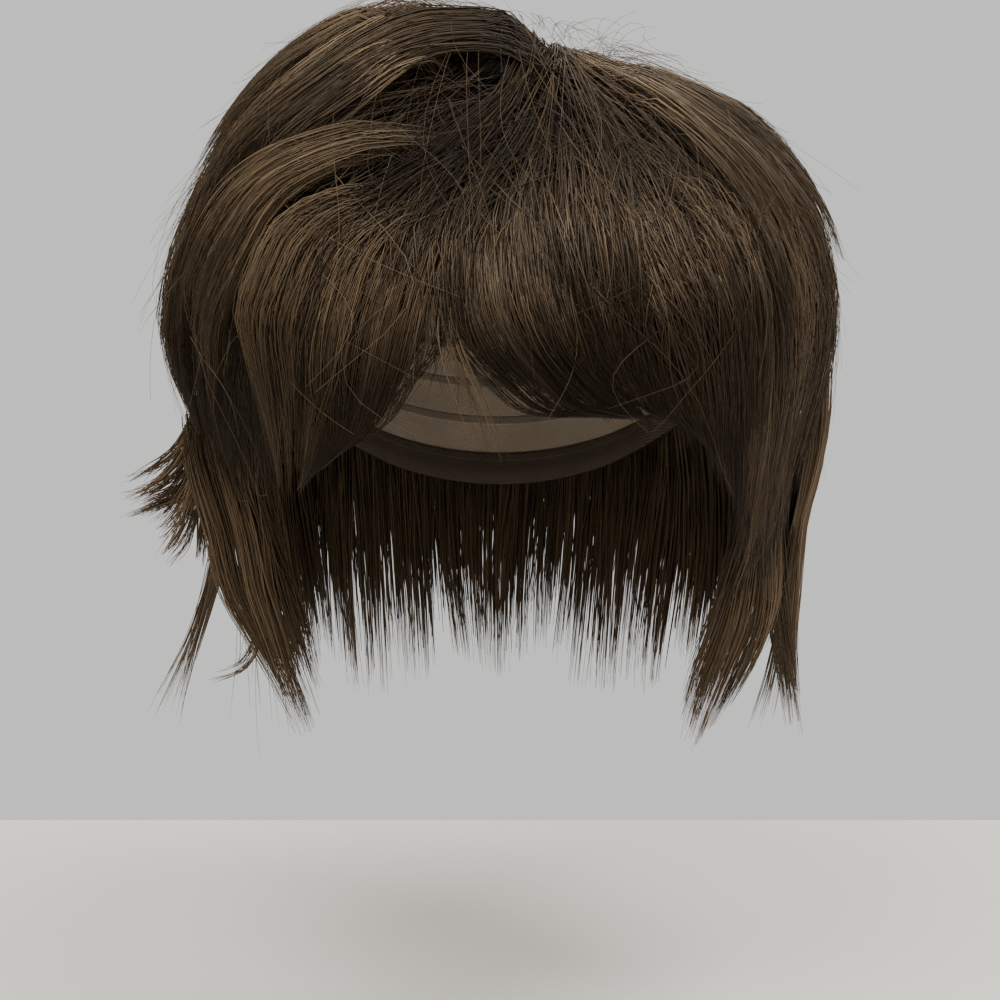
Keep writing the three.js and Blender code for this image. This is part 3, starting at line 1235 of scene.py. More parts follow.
    def _family(
        self,
        points: np.ndarray,
        dark: np.ndarray,
        end: np.ndarray,
        wisp: np.ndarray,
        wisps: int,
        rng: np.random.Generator,
    ) -> Strands:
        """Give strands their thickness and colours.

        Args:
            points: Points of the strands.
            dark: How much of the root colour the points have.
            end: How much of the tip colour the points have.
            wisp: Wisp of each strand.
            wisps: Number of wisps.
            rng: Source of chance.

        Returns:
            The strands.
        """
        count, steps = dark.shape
        t = np.linspace(0, 1, steps)[None, :]
        thick = self.style.radius * rng.uniform(0.75, 1.25, count)[:, None]
        radius = thick * (1 - 0.8 * t**self.style.taper) * (0.75 + 0.25 * ease(t, 0, 0.15))
        tint = np.clip(0.5 + rng.normal(0, 0.13, wisps)[wisp] + rng.normal(0, 0.13, count), 0, 1)
        gold = np.clip(rng.beta(1.5, 2.5, wisps)[wisp] + rng.normal(0, 0.18, count), 0, 1)
        return Strands(points, radius, dark, np.broadcast_to(end, dark.shape), tint, gold)

    def build(self, skin: StrandSkin, finish: bpy.types.Material) -> bpy.types.Object:
        """Make the piece.

        Args:
            skin: Tree that makes the tubes.
            finish: Material of the hair.

        Returns:
            The piece.
        """
        piece = strand_object(self.name, self.strands(), skin, finish)
        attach(piece, ROOT_BODY)
        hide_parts(*(lock.name for lock in self.locks), *self.extra_nodes)
        return piece


def strand_object(
    name: str, families: Sequence[Strands], skin: StrandSkin, finish: bpy.types.Material
) -> bpy.types.Object:
    """Make one object of tubes from families of strands.

    Args:
        name: Name of the object.
        families: The strands.
        skin: Tree that makes the tubes.
        finish: Material of the hair.

    Returns:
        The object.
    """
    points, edges, start, cell = [], [], 0, 0
    numbers: dict[str, list[np.ndarray]] = {
        key: [] for key in ("thick", "dark", "end", "tint", "gold", "along", "cell")
    }
    for family in families:
        count, steps = family.radius.shape
        index = start + np.arange(count * steps).reshape(count, steps)
        points.append(family.points.reshape(-1, 3))
        edges.append(np.stack([index[:, :-1], index[:, 1:]], axis=-1).reshape(-1, 2))
        along = np.broadcast_to(np.linspace(0, 1, steps), (count, steps))
        numbers["thick"].append(family.radius.ravel())
        numbers["dark"].append(family.dark.ravel())
        numbers["end"].append(family.end.ravel())
        numbers["tint"].append(np.repeat(family.tint, steps))
        numbers["gold"].append(np.repeat(family.gold, steps))
        numbers["along"].append(along.ravel())
        numbers["cell"].append(np.repeat(np.arange(cell, cell + count), steps))
        start += count * steps
        cell += count
    mesh = bpy.data.meshes.new(name + "_lines")
    lines = np.concatenate(edges).astype(np.int32)
    mesh.vertices.add(start)
    mesh.vertices.foreach_set("co", (np.concatenate(points) * MM).astype(np.float32).ravel())
    mesh.edges.add(len(lines))
    mesh.edges.foreach_set("vertices", lines.ravel())
    for key, values in numbers.items():
        stored = mesh.attributes.new(key, "FLOAT", "POINT")
        stored.data.foreach_set("value", np.concatenate(values).astype(np.float32))
    piece = bpy.data.objects.new(name, mesh)
    bpy.context.scene.collection.objects.link(piece)
    skin.cover(piece, finish, TUBE_SIDES)
    lay_out_strands(piece.data, cell)
    return piece


def lay_out_strands(mesh: bpy.types.Mesh, cells: int) -> None:
    """Give each strand a strip of its own in the map of the mesh.

    Args:
        mesh: Mesh of tubes with the attributes cell, along and around.
        cells: Number of strands.
    """
    values = {}
    for key in ("cell", "along", "around"):
        values[key] = np.empty(len(mesh.vertices), dtype=np.float32)
        mesh.attributes[key].data.foreach_get("value", values[key])
    corner = np.empty(len(mesh.loops), dtype=np.int32)
    mesh.loops.foreach_get("vertex_index", corner)
    columns = max(1, math.ceil(math.sqrt(cells * TUBE_SIDES)))
    rows = math.ceil(cells / columns)
    row, column = np.divmod(np.round(values["cell"]).astype(int), columns)
    bend = STRIP_BEND * values["around"] ** 2
    u = (column + STRIP_LOW[0] + STRIP_SIZE[0] * values["around"]) / columns
    v = (row + STRIP_LOW[1] + STRIP_SIZE[1] * values["along"] + bend) / rows
    layer = mesh.uv_layers.new(name="OFBake")
    layer.data.foreach_set("uv", np.stack([u[corner], v[corner]], axis=-1).astype(np.float32).ravel())
    for key in ("cell", "along", "around", "thick"):
        mesh.attributes.remove(mesh.attributes[key])


# Cap, fly-away hair and studio


@dataclass
class Cap:
    """Net cap that carries the hair.

    Args:
        turns: Steps around.
        rings: Steps down.
        first_ring: Share of the way down where the first ring is.
        form: Form of the hair and the cap.
    """

    turns: int = 96
    rings: int = 36
    first_ring: float = 0.02
    form: HairForm = field(default_factory=HairForm)

    def build(self, finish: bpy.types.Material) -> bpy.types.Object:
        """Make the piece.

        Args:
            finish: Material of the net.

        Returns:
            The piece.
        """
        azimuth = np.arange(self.turns) * 360 / self.turns
        edge = np.arccos(1 + self.form.edge.at("z", azimuth) / self.form.hollow[2])
        down = np.linspace(self.first_ring, 1, self.rings)[:, None] * edge[None, :]
        outer, inner = (self._side(azimuth, down, grown) for grown in (self.form.cap_wall, 0.0))
        half = self.turns * self.rings
        points = [*outer.reshape(-1, 3), *inner.reshape(-1, 3)]
        points += [np.array([0, 0, self.form.cap_wall]), np.zeros(3)]
        faces = []
        last = (self.rings - 1) * self.turns
        for j in range(self.turns):
            k = (j + 1) % self.turns
            for i in range(0, last, self.turns):
                a, b, c, d = i + j, i + self.turns + j, i + self.turns + k, i + k
                faces += [(a, b, c, d), (half + a, half + d, half + c, half + b)]
            faces.append((last + j, half + last + j, half + last + k, last + k))
            faces += [(2 * half, j, k), (2 * half + 1, half + k, half + j)]
        mesh = bpy.data.meshes.new("cap_net")
        mesh.from_pydata([tuple(point * MM) for point in points], [], faces)
        mesh.polygons.foreach_set("use_smooth", [True] * len(mesh.polygons))
        self._map(mesh)
        level = np.repeat(np.linspace(self.first_ring, 1, self.rings), self.turns).tolist()
        marks = {"inside": [0.0] * half + [1.0] * half + [0.0, 1.0], "down": [*level, *level, 0.0, 0.0]}
        for key, values in marks.items():
            mesh.attributes.new(key, "FLOAT", "POINT").data.foreach_set("value", values)
        mesh.materials.append(finish)
        piece = bpy.data.objects.new("cap_net", mesh)
        bpy.context.scene.collection.objects.link(piece)
        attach(piece, ROOT_BODY)
        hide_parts("cap")
        return piece

    def _side(self, azimuth: np.ndarray, down: np.ndarray, grown: float) -> np.ndarray:
        """Place one side of the wall.

        Args:
            azimuth: Azimuths of the columns.
            down: Angles down from the top, by ring and column.
            grown: Thickness to add to the hollow.

        Returns:
            Points by ring and column.
        """
        wide, deep, crown = (size + grown for size in self.form.hollow)
        angle = np.radians(azimuth)[None, :]
        x = wide * np.sin(down) * np.sin(angle)
        y = -deep * np.sin(down) * np.cos(angle)
        z = crown * np.cos(down) - self.form.hollow[2]
        return np.stack([x, y, z], axis=-1)

    def _map(self, mesh: bpy.types.Mesh) -> None:
        """Store a map of the net: millimetres around and down.

        Args:
            mesh: Mesh of the cap.
        """
        layer = mesh.uv_layers.new(name="net")
        radius = sum(self.form.hollow) / 3
        for loop in mesh.loops:
            x, y, z = mesh.vertices[loop.vertex_index].co / MM
            down = math.atan2(math.hypot(x, y), z + self.form.hollow[2])
            angle = math.atan2(x, -y)
            layer.data[loop.index].uv = (radius * down * math.sin(angle), radius * down * math.cos(angle))


@dataclass
class FlyAways:
    """Loose single hairs that stand off the wig.

    Args:
        count: Number of hairs over the whole wig.
        crossed: Number of straight hairs that cross each other below the whorl.
        tuft: Number of short curly hairs that stand up at the whorl.
        stray: Number of short hairs that stick out at both sides of the crown.
        seed: Seed.
        radius: Half thickness in millimetres.
        steps: Points on a hair.
        form: Form of the hair.
    """

    count: int = 280
    crossed: int = 220
    tuft: int = 60
    stray: int = 130
    seed: int = 91
    radius: float = 0.085
    steps: int = 9
    form: HairForm = field(default_factory=HairForm)

    @property
    def way(self) -> np.ndarray:
        """Shares of the way along a hair."""
        return np.linspace(0, 1, self.steps)[None, :]

    def strands(self) -> list[Strands]:
        """Lay the hairs.

        Returns:
            The hairs.
        """
        rng = np.random.default_rng(self.seed)
        return [self._loose(rng), self._crossed(rng), self._tuft(rng), self._stray(rng)]

    def _loose(self, rng: np.random.Generator) -> Strands:
        """Lay hairs over the whole wig.

        Args:
            rng: Source of chance.

        Returns:
            The hairs.
        """
        t = self.way
        root = rng.uniform(0, 360, self.count)
        first = rng.uniform(0.1, 0.8, self.count)
        length = rng.uniform(0.14, 0.42, self.count)
        lift = rng.exponential(0.12, self.count)
        turn = rng.normal(0, 16, self.count)
        bow = rng.normal(0, 7, self.count)
        azimuth = root[:, None] + turn[:, None] * t + bow[:, None] * np.sin(3 * t)
        share = np.minimum(first[:, None] + length[:, None] * t, 1.03)
        depth = 0.9 + 0.08 * ease(t, 0, 0.3) + np.minimum(lift, 0.45)[:, None] * t**2
        points = self.form.top_point(ALL_ROUND, azimuth, share, depth)
        return self._dressed(points, 0.2, rng)

    def _crossed(self, rng: np.random.Generator) -> Strands:
        """Lay straight hairs that cross each other below the whorl.

        Args:
            rng: Source of chance.

        Returns:
            The hairs.
        """
        t = self.way
        count = self.crossed
        root = rng.uniform(-34, 40, count)
        first = rng.uniform(0.36, 0.48, count)
        turn = rng.normal(-6, 18, count)
        bow = rng.normal(0, 4, count)
        length = rng.uniform(0.05, 0.14, count)
        azimuth = root[:, None] + turn[:, None] * t + bow[:, None] * np.sin(3 * t)
        share = first[:, None] + length[:, None] * t
        top = rng.uniform(0.7, 0.98, count)[:, None]
        depth = top * (0.7 + 0.3 * np.sin(2.2 * t + 0.3))
        points = self.form.top_point(ALL_ROUND, azimuth, share, depth)
        return self._dressed(points, 0.6, rng)

    def _tuft(self, rng: np.random.Generator) -> Strands:
        """Lay short curly hairs at the whorl.

        Args:
            rng: Source of chance.

        Returns:
            The hairs.
        """
        count = self.tuft
        t = self.way
        root = [rng.normal(24, 8, count), rng.normal(-28, 12, count), rng.uniform(-5, 0, count)]
        lean = [rng.normal(3, 12, count), rng.normal(-3, 6, count), rng.uniform(3, 15, count)]
        root, lean = (np.stack(parts, axis=-1)[:, None, :] for parts in (root, lean))
        curl = rng.uniform(1.5, 5.5, count)[:, None] * t
        phase = rng.uniform(0, FULL_TURN, count)[:, None]
        turn = rng.uniform(2, 7, count)[:, None] * t + phase
        swing = np.stack([np.sin(turn) - np.sin(phase), 0 * turn, np.cos(turn) - np.cos(phase)], axis=-1)
        fall = np.stack([0 * t, 0 * t, -7 * t**2], axis=-1)
        points = root + lean * t[..., None] + swing * curl[..., None] + fall
        points[..., 2] = np.minimum(points[..., 2], 24 + rng.uniform(-2, 1, (count, 1)))
        return self._dressed(points, 0.4, rng)

    def _stray(self, rng: np.random.Generator) -> Strands:
        """Lay short hairs that stick out at both sides of the crown.

        Args:
            rng: Source of chance.

        Returns:
            The hairs.
        """
        t = self.way
        count = self.stray
        root = rng.choice((-1.0, 1.0), count) * rng.uniform(48, 112, count)
        first = rng.uniform(0.24, 0.72, count)
        length = rng.uniform(0.06, 0.16, count)
        lift = rng.uniform(0.06, 0.3, count)
        turn = rng.normal(0, 7, count)
        azimuth = root[:, None] + turn[:, None] * t
        share = first[:, None] + length[:, None] * t
        depth = 0.92 + lift[:, None] * t**1.5
        points = self.form.top_point(ALL_ROUND, azimuth, share, depth)
        return self._dressed(points, 0.2, rng)

    def _dressed(self, points: np.ndarray, dark: float, rng: np.random.Generator) -> Strands:
        """Give hairs their thickness and colours.

        Args:
            points: Points of the hairs.
            dark: How much of the root colour they have.
            rng: Source of chance.

        Returns:
            The hairs.
        """
        shape = points.shape[:2]
        radius = self.radius * (1 - 0.5 * self.way) * rng.uniform(0.8, 1.2, (shape[0], 1))
        tint, gold = rng.uniform(0.4, 0.9, shape[0]), rng.uniform(0.1, 0.9, shape[0])
        return Strands(points, radius, np.full(shape, dark), np.zeros(shape), tint, gold)

    def build(self, skin: StrandSkin, finish: bpy.types.Material) -> bpy.types.Object:
        """Make the piece.

        Args:
            skin: Tree that makes the tubes.
            finish: Material of the hair.

        Returns:
            The piece.
        """
        piece = strand_object("flyaway_hair", self.strands(), skin, finish)
        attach(piece, ROOT_BODY)
        return piece


@dataclass
class Studio:
    """Pale floor, soft light and the camera.

    Args:
        floor_z: Height of the floor in metres.
        floor_half: Half of its side.
        floor_back: Where the floor ends behind the wig.
        aim: Point that the camera looks at, in metres.
        distance: Distance of the camera from it.
        elevation: Degrees that the camera is above it.
        view: Degrees across the picture.
        sky: Colour of the surroundings.
    """

    floor_z: float = -0.3
    floor_half: float = 4.0
    floor_back: float = 0.213
    aim: tuple[float, float, float] = (0.0, 0.0, -0.132)
    distance: float = 0.62
    elevation: float = 8.0
    view: float = 28.07
    sky: Colour = (0.80, 0.795, 0.785)

    def build(self) -> None:
        """Make the floor, lights and camera."""
        self._floor()
        self._world()
        self._light("key", (-0.4, -0.65, 1.05), 0.7, 16.0)
        self._light("top", (0.5, -0.3, 1.05), 0.6, 14.0)
        self._light("back", (0.1, 1.0, 0.9), 0.9, 4.0)
        self._camera()

    def _floor(self) -> None:
        """Make the floor."""
        mesh = bpy.data.meshes.new("floor")
        far = self.floor_half
        back = self.floor_back
        corners = [(-far, -far), (far, -far), (far, back), (-far, back)]
        mesh.from_pydata([(x, y, self.floor_z) for x, y in corners], [], [(0, 1, 2, 3)])
        shader = Shader("floor_paint")
        worn = shader.noise(shader.object_place(), 3.0, 4.0)
        colour = shader.mix(worn, (0.74, 0.70, 0.62), (0.77, 0.73, 0.65))
        shader.feed(shader.surface.inputs["Base Color"], colour)
        shader.surface.inputs["Roughness"].default_value = 0.8
        mesh.materials.append(shader.material)
        floor = bpy.data.objects.new("floor", mesh)
        bpy.context.scene.collection.objects.link(floor)

    def _world(self) -> None:
        """Make the soft surrounding light."""
        world = bpy.data.worlds.new("studio")
        world.use_nodes = True
        world.node_tree.nodes["Background"].inputs["Color"].default_value = (*self.sky, 1.0)
        bpy.context.scene.world = world

    def _light(self, name: str, place: tuple[float, float, float], size: float, power: float) -> None:
        """Add a soft light that faces the wig.

        Args:
            name: Name of the light.
            place: Where it is, in metres.
            size: Side of its square.
            power: Watts.
        """
        data = bpy.data.lights.new(name, "AREA")
        data.size = size
        data.energy = power
        lamp = bpy.data.objects.new(name, data)
        lamp.location = place
        lamp.rotation_euler = (Vector(self.aim) - Vector(place)).to_track_quat("-Z", "Y").to_euler()
        bpy.context.scene.collection.objects.link(lamp)

    def _camera(self) -> None:
        """Make the camera."""
        data = bpy.data.cameras.new("camera")
        data.angle = math.radians(self.view)
        data.clip_start = 0.01
        camera = bpy.data.objects.new("camera", data)
        rise = math.radians(self.elevation)
        back = Vector((0.0, -math.cos(rise), math.sin(rise))) * self.distance
        camera.location = Vector(self.aim) + back
        camera.rotation_euler = (-back).to_track_quat("-Z", "Y").to_euler()
        bpy.context.scene.collection.objects.link(camera)
        bpy.context.scene.camera = camera


# Finishes, styles and the bunches of hair

# The dark tip colour of the top hair is painted shade of the lower fringe and of the ends of the layers.
TOP_FINISH = HairFinish(
    "top_hair", root=(0.0060, 0.0046, 0.0034), body=(0.060, 0.0395, 0.0232), gold=(0.146, 0.100, 0.058),
    tip=(0.0145, 0.0098, 0.0061),
)
# The dark root colour of the under hair partly paints the shade beneath the top layer.
UNDER_FINISH = HairFinish(
    "under_hair", root=(0.0140, 0.0095, 0.0060), body=(0.066, 0.0435, 0.0250), gold=(0.135, 0.091, 0.051),
    tip=(0.080, 0.0525, 0.0300),
)
CAP_FINISH = NetFinish(
    "cap_net", thread=(0.022, 0.017, 0.012), hole=(0.008, 0.006, 0.005), lining=(0.30, 0.245, 0.19),
    hem=(0.075, 0.058, 0.044),
)

# The fringe takes the dark tip colour early: painted shade that darkens it towards the hem.
FRINGE_LEFT = StrandStyle(
    per_degree=31, radius=0.16, gather=0.4, crossing=0.3, high=(0.3, 0.42), low=(0.455, 0.535), rows=0.78,
    whorl=0.06, dark_root_and_shade=(0.42, 0.6), ending=(0.2, 0.62), fray=0.03, short=0.1, steps=8,
)
FRINGE_RIGHT = replace(FRINGE_LEFT, low=(0.5, 0.575), dark_root_and_shade=(0.47, 0.64))
CROWN = StrandStyle(per_degree=21, radius=0.18, high=(0.04, 0.34), low=(0.2, 0.5), shaded_ends=0.85, steps=9)
CROWN_LEFT = replace(CROWN, shaded_ends=0.45)
REAR = StrandStyle(per_degree=19, radius=0.22, shaded_ends=0.5, fray=0.08, short=0.3, steps=8)
# LOW and NAPE keep their root colour far down: painted shade beneath the top layer, besides dark roots.
LOW = StrandStyle(
    per_degree=12, radius=0.2, wisp=4.5, gather=0.6, filler=0.35, dark_root_and_shade=(0.1, 0.6), fray=0.08, short=0.3,
    taper=4.0, steps=9,
)
NAPE = StrandStyle(
    per_degree=25, radius=0.215, wisp=5.0, gather=0.4, filler=0.45, dark_root_and_shade=(0.4, 0.92), fray=0.08,
    short=0.3, taper=6.0, steps=6,
)

# The crown swept over to the right, in layers with dark gaps between them
RIGHT_SWEEP = (
    Spray(
        Place.FORM,
        first=(
            (27, 0.37, 0.78), (3, 0.35, 0.97), (-13, 0.36, 0.98), (-24, 0.39, 1.0), (-33, 0.43, 1.02),
            (-39, 0.475, 1.02), (-46, 0.53, 1.02), (-52, 0.57, 1.0), (-58, 0.62, 1.0),
        ),
        other=(
            (31, 0.31, 0.82), (6, 0.265, 1.0), (-16, 0.275, 0.97), (-32, 0.30, 0.97), (-44, 0.35, 0.97),
            (-52, 0.42, 0.97), (-58, 0.50, 0.97), (-62, 0.58, 0.97), (-65, 0.66, 0.97),
        ),
        count=460, cut=(0.66, 1.0), thick=0.07, gold=-0.1, light=-0.32, wisps=18, fray=0.18, late=0.1,
        rise=0.14, dark_root_and_shade=0.72, shaded_ends=0.4, steps=13,
    ),
    # Lighter, golden ends of a short layer: partly lighter hair, partly painted highlight.
    Spray(
        Place.FORM,
        first=((-8, 0.355, 0.5), (-18, 0.37, 0.9), (-25, 0.395, 1.02), (-31, 0.44, 1.04)),
        other=((-14, 0.32, 0.5), (-28, 0.345, 0.9), (-38, 0.375, 1.02), (-48, 0.43, 1.04)),
        count=150, thick=0.06, gold=0.5, light=0.32, wisps=12, fray=0.2, late=0.4, dark_root_and_shade=0.65,
        shaded_ends=0.0, steps=10,
    ),
    # Lighter, golden layer: partly lighter hair, partly painted highlight.
    Spray(
        Place.FORM,
        first=(
            (0, 0.455, 0.3), (-14, 0.477, 0.55), (-26, 0.512, 0.9), (-35, 0.562, 0.98), (-40, 0.612, 1.0),
            (-43, 0.685, 1.0), (-47, 0.755, 1.0), (-52, 0.835, 0.98),
        ),
        other=(
            (0, 0.44, 0.3), (-15, 0.445, 0.55), (-29, 0.465, 0.9), (-41, 0.51, 0.98), (-49, 0.56, 1.0),
            (-56, 0.62, 0.98), (-60, 0.70, 0.97), (-62, 0.80, 0.97),
        ),
        count=400, thick=0.1, gold=0.6, light=0.3, wisps=22, gather=0.4, fray=0.14, late=0.55, rise=0.3,
        dark_root_and_shade=0.65, shaded_ends=0.85, ending=(0.4, 0.85), steps=12,
    ),
    Spray(
        Place.FORM,
        first=(
            (-4, 0.535, 0.3), (-12, 0.575, 0.7), (-18, 0.62, 0.9), (-21.5, 0.67, 0.93), (-23, 0.74, 0.94),
            (-24.5, 0.81, 0.94), (-26, 0.90, 0.94), (-33, 1.04, 0.87),
        ),
        other=(
            (-4, 0.51, 0.3), (-17, 0.535, 0.75), (-29, 0.575, 0.96), (-37, 0.63, 1.0), (-40, 0.70, 1.0),
            (-42, 0.76, 1.0), (-41, 0.86, 0.97), (-42, 1.05, 0.88),
        ),
        count=360, thick=0.07, gold=0.25, light=0.14, wisps=14, late=0.5, rise=0.3, dark_root_and_shade=0.5,
        shaded_ends=0.6, steps=12,
    ),
)

# The shoulder left of the whorl, lighter and golden: partly lighter hair, partly painted highlight where
# the top light falls
LEFT_SHOULDER = Spray(
    Place.FORM,
    first=((24, 0.29, 0.7), (34, 0.37, 0.95), (41, 0.45, 0.97), (46, 0.54, 0.97), (50, 0.64, 0.97)),
    other=((42, 0.26, 0.7), (57, 0.33, 0.95), (65, 0.41, 0.97), (69, 0.50, 0.97), (72, 0.60, 0.97)),
    count=260, thick=0.06, gold=0.3, light=0.12, wisps=18, lean=0.75, fray=0.2, late=0.3, shaded_ends=0.6,
    steps=9,
)

# The two sides of the fringe along the part. Their darker colour and dark ends are painted shade of the
# lower fringe, also in the end of the fringe below.
RIGHT_OF_PART = Spray(
    Place.FORM,
    first=(
        (-8, 0.545, 0.5), (-9.5, 0.65, 0.85), (-10.8, 0.76, 0.96), (-12.3, 0.85, 0.97),
        (-15, 0.925, 0.94), (-18, 0.97, 0.9), (-26, 1.0, 0.85),
    ),
    other=(
        (-24, 0.56, 0.5), (-26.5, 0.66, 0.85), (-28, 0.76, 0.96), (-29, 0.86, 0.97), (-29, 0.93, 0.94),
        (-31, 0.99, 0.9), (-36, 1.04, 0.85),
    ),
    count=350, light=-0.1, wisps=18, gather=0.3, fray=0.05, rise=0.2, dark_root_and_shade=0.12, shaded_ends=0.9,
    ending=(0.16, 0.6),
)
LEFT_OF_PART = Spray(
    Place.FORM,
    first=(
        (-6, 0.545, 0.5), (-9, 0.65, 0.85), (-8.6, 0.75, 0.96), (-6, 0.835, 0.97), (-1.5, 0.91, 0.95),
        (4, 0.985, 0.92), (14, 1.005, 0.88),
    ),
    other=(
        (8, 0.525, 0.5), (8, 0.63, 0.85), (8.2, 0.74, 0.96), (10.5, 0.84, 0.97), (14, 0.92, 0.95),
        (19, 0.985, 0.92), (26, 1.01, 0.88),
    ),
    count=330, light=-0.24, wisps=18, gather=0.45, lean=0.7, fray=0.05, rise=0.2, dark_root_and_shade=0.12,
    shaded_ends=0.95, ending=(0.16, 0.56),
)
END_OF_FRINGE = Spray(
    Place.FORM,
    first=(
        (5, 0.575, 0.5), (5, 0.67, 0.82), (7, 0.76, 0.92), (9, 0.85, 0.93), (12, 0.94, 0.9),
        (17, 1.0, 0.86),
    ),
    other=(
        (42, 0.5, 0.5), (42, 0.6, 0.82), (43, 0.71, 0.93), (45, 0.82, 0.95), (48, 0.93, 0.93),
        (50, 1.05, 0.88),
    ),
    count=420, cut=(1.0, 0.84), light=-0.16, wisps=26, gather=0.3, fray=0.06, late=0.3, dark_root_and_shade=0.1,
    shaded_ends=0.84, ending=(0.1, 0.52), steps=10,
)

# Painted shade: thick, dark hair inside, where the top layer opens at the temples and behind the fringe
RIGHT_RECESS = Spray(
    Place.FORM,
    first=((-37, 0.58, 0.3), (-40, 0.7, 0.5), (-42, 0.82, 0.6), (-44, 0.93, 0.64), (-46, 1.04, 0.6)),
    other=((-112, 0.6, 0.3), (-112, 0.72, 0.5), (-112, 0.84, 0.6), (-112, 0.95, 0.64), (-112, 1.08, 0.6)),
    count=400, fine=2.0, light=-0.4, wisps=24, gather=0.35, fray=0.12, shaded_ends=0.9, steps=8,
)
LEFT_RECESS = Spray(
    Place.FORM,
    first=((41, 0.6, 0.3), (43, 0.72, 0.5), (45, 0.84, 0.6), (48, 0.94, 0.62), (52, 1.03, 0.6)),
    other=((108, 0.6, 0.3), (108, 0.72, 0.5), (108, 0.84, 0.6), (108, 0.95, 0.62), (108, 1.08, 0.6)),
    count=400, fine=2.0, light=-0.4, wisps=24, gather=0.3, fray=0.1, shaded_ends=0.9, steps=8,
)
FRINGE_BACK = Spray(
    Place.FORM,
    first=((10, 0.7, 0.4), (12, 0.8, 0.6), (16, 0.9, 0.72), (21, 0.975, 0.76), (27, 1.0, 0.74)),
    other=((44, 0.7, 0.4), (45, 0.8, 0.6), (47, 0.9, 0.72), (49, 1.0, 0.76), (51, 1.05, 0.74)),
    count=130, cut=(1.0, 0.85), fine=2.2, light=-0.4, wisps=20, gather=0.1, fray=0.04, shaded_ends=0.9,
    steps=7,
)

IN_THE_PART = Spray(
    Place.FORM,
    first=((-9.4, 0.66, 0.9), (-8.6, 0.82, 0.96), (-6, 0.95, 0.96), (-3, 1.09, 0.95)),
    other=((-9.2, 0.66, 0.9), (-7, 0.82, 0.96), (-2, 0.95, 0.96), (3, 1.07, 0.95)),
    count=18, wisps=6, fray=0.12,
)

# Right: the long front lock, the fan that flicks out behind it, the thin wisp, a curl and loose ends
RIGHT_ENDS = (
    Spray(
        Place.SPACE,
        first=(
            (-98, 6, -104), (-97, 5, -122), (-91, 0, -141), (-86, -6, -158), (-76, -12, -174),
            (-60, -22, -198),
        ),
        other=(
            (-82, -16, -96), (-74, -22, -116), (-68, -25, -136), (-65, -26, -154), (-60, -28, -172),
            (-54, -30, -197),
        ),
        count=420, thick=4.0, wisps=10, gather=0.4, fray=0.11,
    ),
    Spray(
        Place.SPACE,
        first=((-91, 10, -92), (-96, 11, -106), (-103, 13, -117), (-113, 15, -124), (-124, 16, -129)),
        other=((-86, 10, -104), (-91, 13, -122), (-96, 16, -137), (-100, 19, -149), (-105, 22, -157)),
        count=270, thick=2.5, wisps=9, gather=0.85, fray=0.15, steps=10,
    ),
    Spray(
        Place.SPACE,
        first=((-92, 12, -110), (-95, 15, -128), (-97, 18, -146), (-99, 20, -158)),
        other=((-86, 10, -114), (-88, 12, -132), (-89, 15, -148), (-88, 17, -162)),
        count=110, thick=2.5, wisps=6, gather=0.75, fray=0.16, steps=10,
    ),
    Spray(
        Place.SPACE,
        first=((-90, 8, -124), (-91, 9, -150), (-96, 12, -168), (-103, 16, -184), (-117, 20, -206)),
        other=((-86, 6, -126), (-88, 7, -150), (-93, 10, -168), (-98, 13, -186), (-102, 16, -206)),
        count=44, thick=1.2, fine=0.75, wisps=7, gather=0.7, fray=0.12,
    ),
    Spray(
        Place.SPACE,
        first=((-78, -8, -150), (-77, -6, -172), (-82, -2, -182), (-94, 4, -187)),
        other=((-75, -10, -152), (-75, -8, -173), (-80, -4, -185), (-91, 2, -191)),
        count=22, thick=1.2, fine=0.7, wisps=4, fray=0.15,
    ),
    Spray(
        Place.SPACE,
        first=((-87, 8, -136), (-86, 8, -160), (-87, 9, -182), (-91, 10, -205)),
        other=((-72, -4, -140), (-68, -6, -165), (-66, -8, -188), (-63, -10, -211)),
        count=18, thick=2.0, fine=0.5, wisps=9, gather=0.2, fray=0.2,
    ),
)

# Left: the front lock that sweeps in at its ends, the lock behind it, thin ends and thick dark hair
# between them as painted shade
LEFT_ENDS = (
    Spray(
        Place.SPACE,
        first=(
            (80, -16, -108), (75, -18, -130), (69, -18, -149), (64, -19, -166), (59, -20, -182),
            (54, -22, -206),
        ),
        other=(
            (90, 4, -104), (87, 3, -124), (86, 0, -145), (86, -2, -162), (81, -6, -178), (71, -12, -197),
        ),
        count=400, thick=3.5, wisps=11, gather=0.4, fray=0.09, dark_root_and_shade=0.55,
    ),
    Spray(
        Place.SPACE,
        first=(
            (104, 18, -86), (104, 20, -109), (102, 22, -125), (99, 24, -141), (98, 25, -163),
            (96, 26, -184), (97, 28, -210),
        ),
        other=(
            (97, 14, -88), (98, 16, -112), (97, 18, -128), (94, 20, -148), (91, 22, -166), (90, 24, -184),
            (93, 26, -206),
        ),
        count=280, thick=3.0, wisps=7, gather=0.45, fray=0.09, steps=13,
    ),
    Spray(
        Place.SPACE,
        first=((92, 10, -140), (90, 11, -165), (85, 12, -188), (79, 14, -209)),
        other=((95, 14, -142), (93, 15, -168), (90, 16, -190), (87, 18, -208)),
        count=50, thick=1.5, fine=0.75, wisps=7, gather=0.6, fray=0.14,
    ),
    # Painted shade: thick, dark hair between the locks.
    Spray(
        Place.SPACE,
        first=((82, 16, -100), (85, 20, -125), (83, 20, -150), (79, 18, -172)),
        other=((103, 26, -98), (103, 28, -122), (99, 28, -148), (93, 26, -180)),
        count=130, thick=3.0, fine=1.8, light=-0.5, wisps=15, gather=0.1, fray=0.12, steps=8,
    ),
)

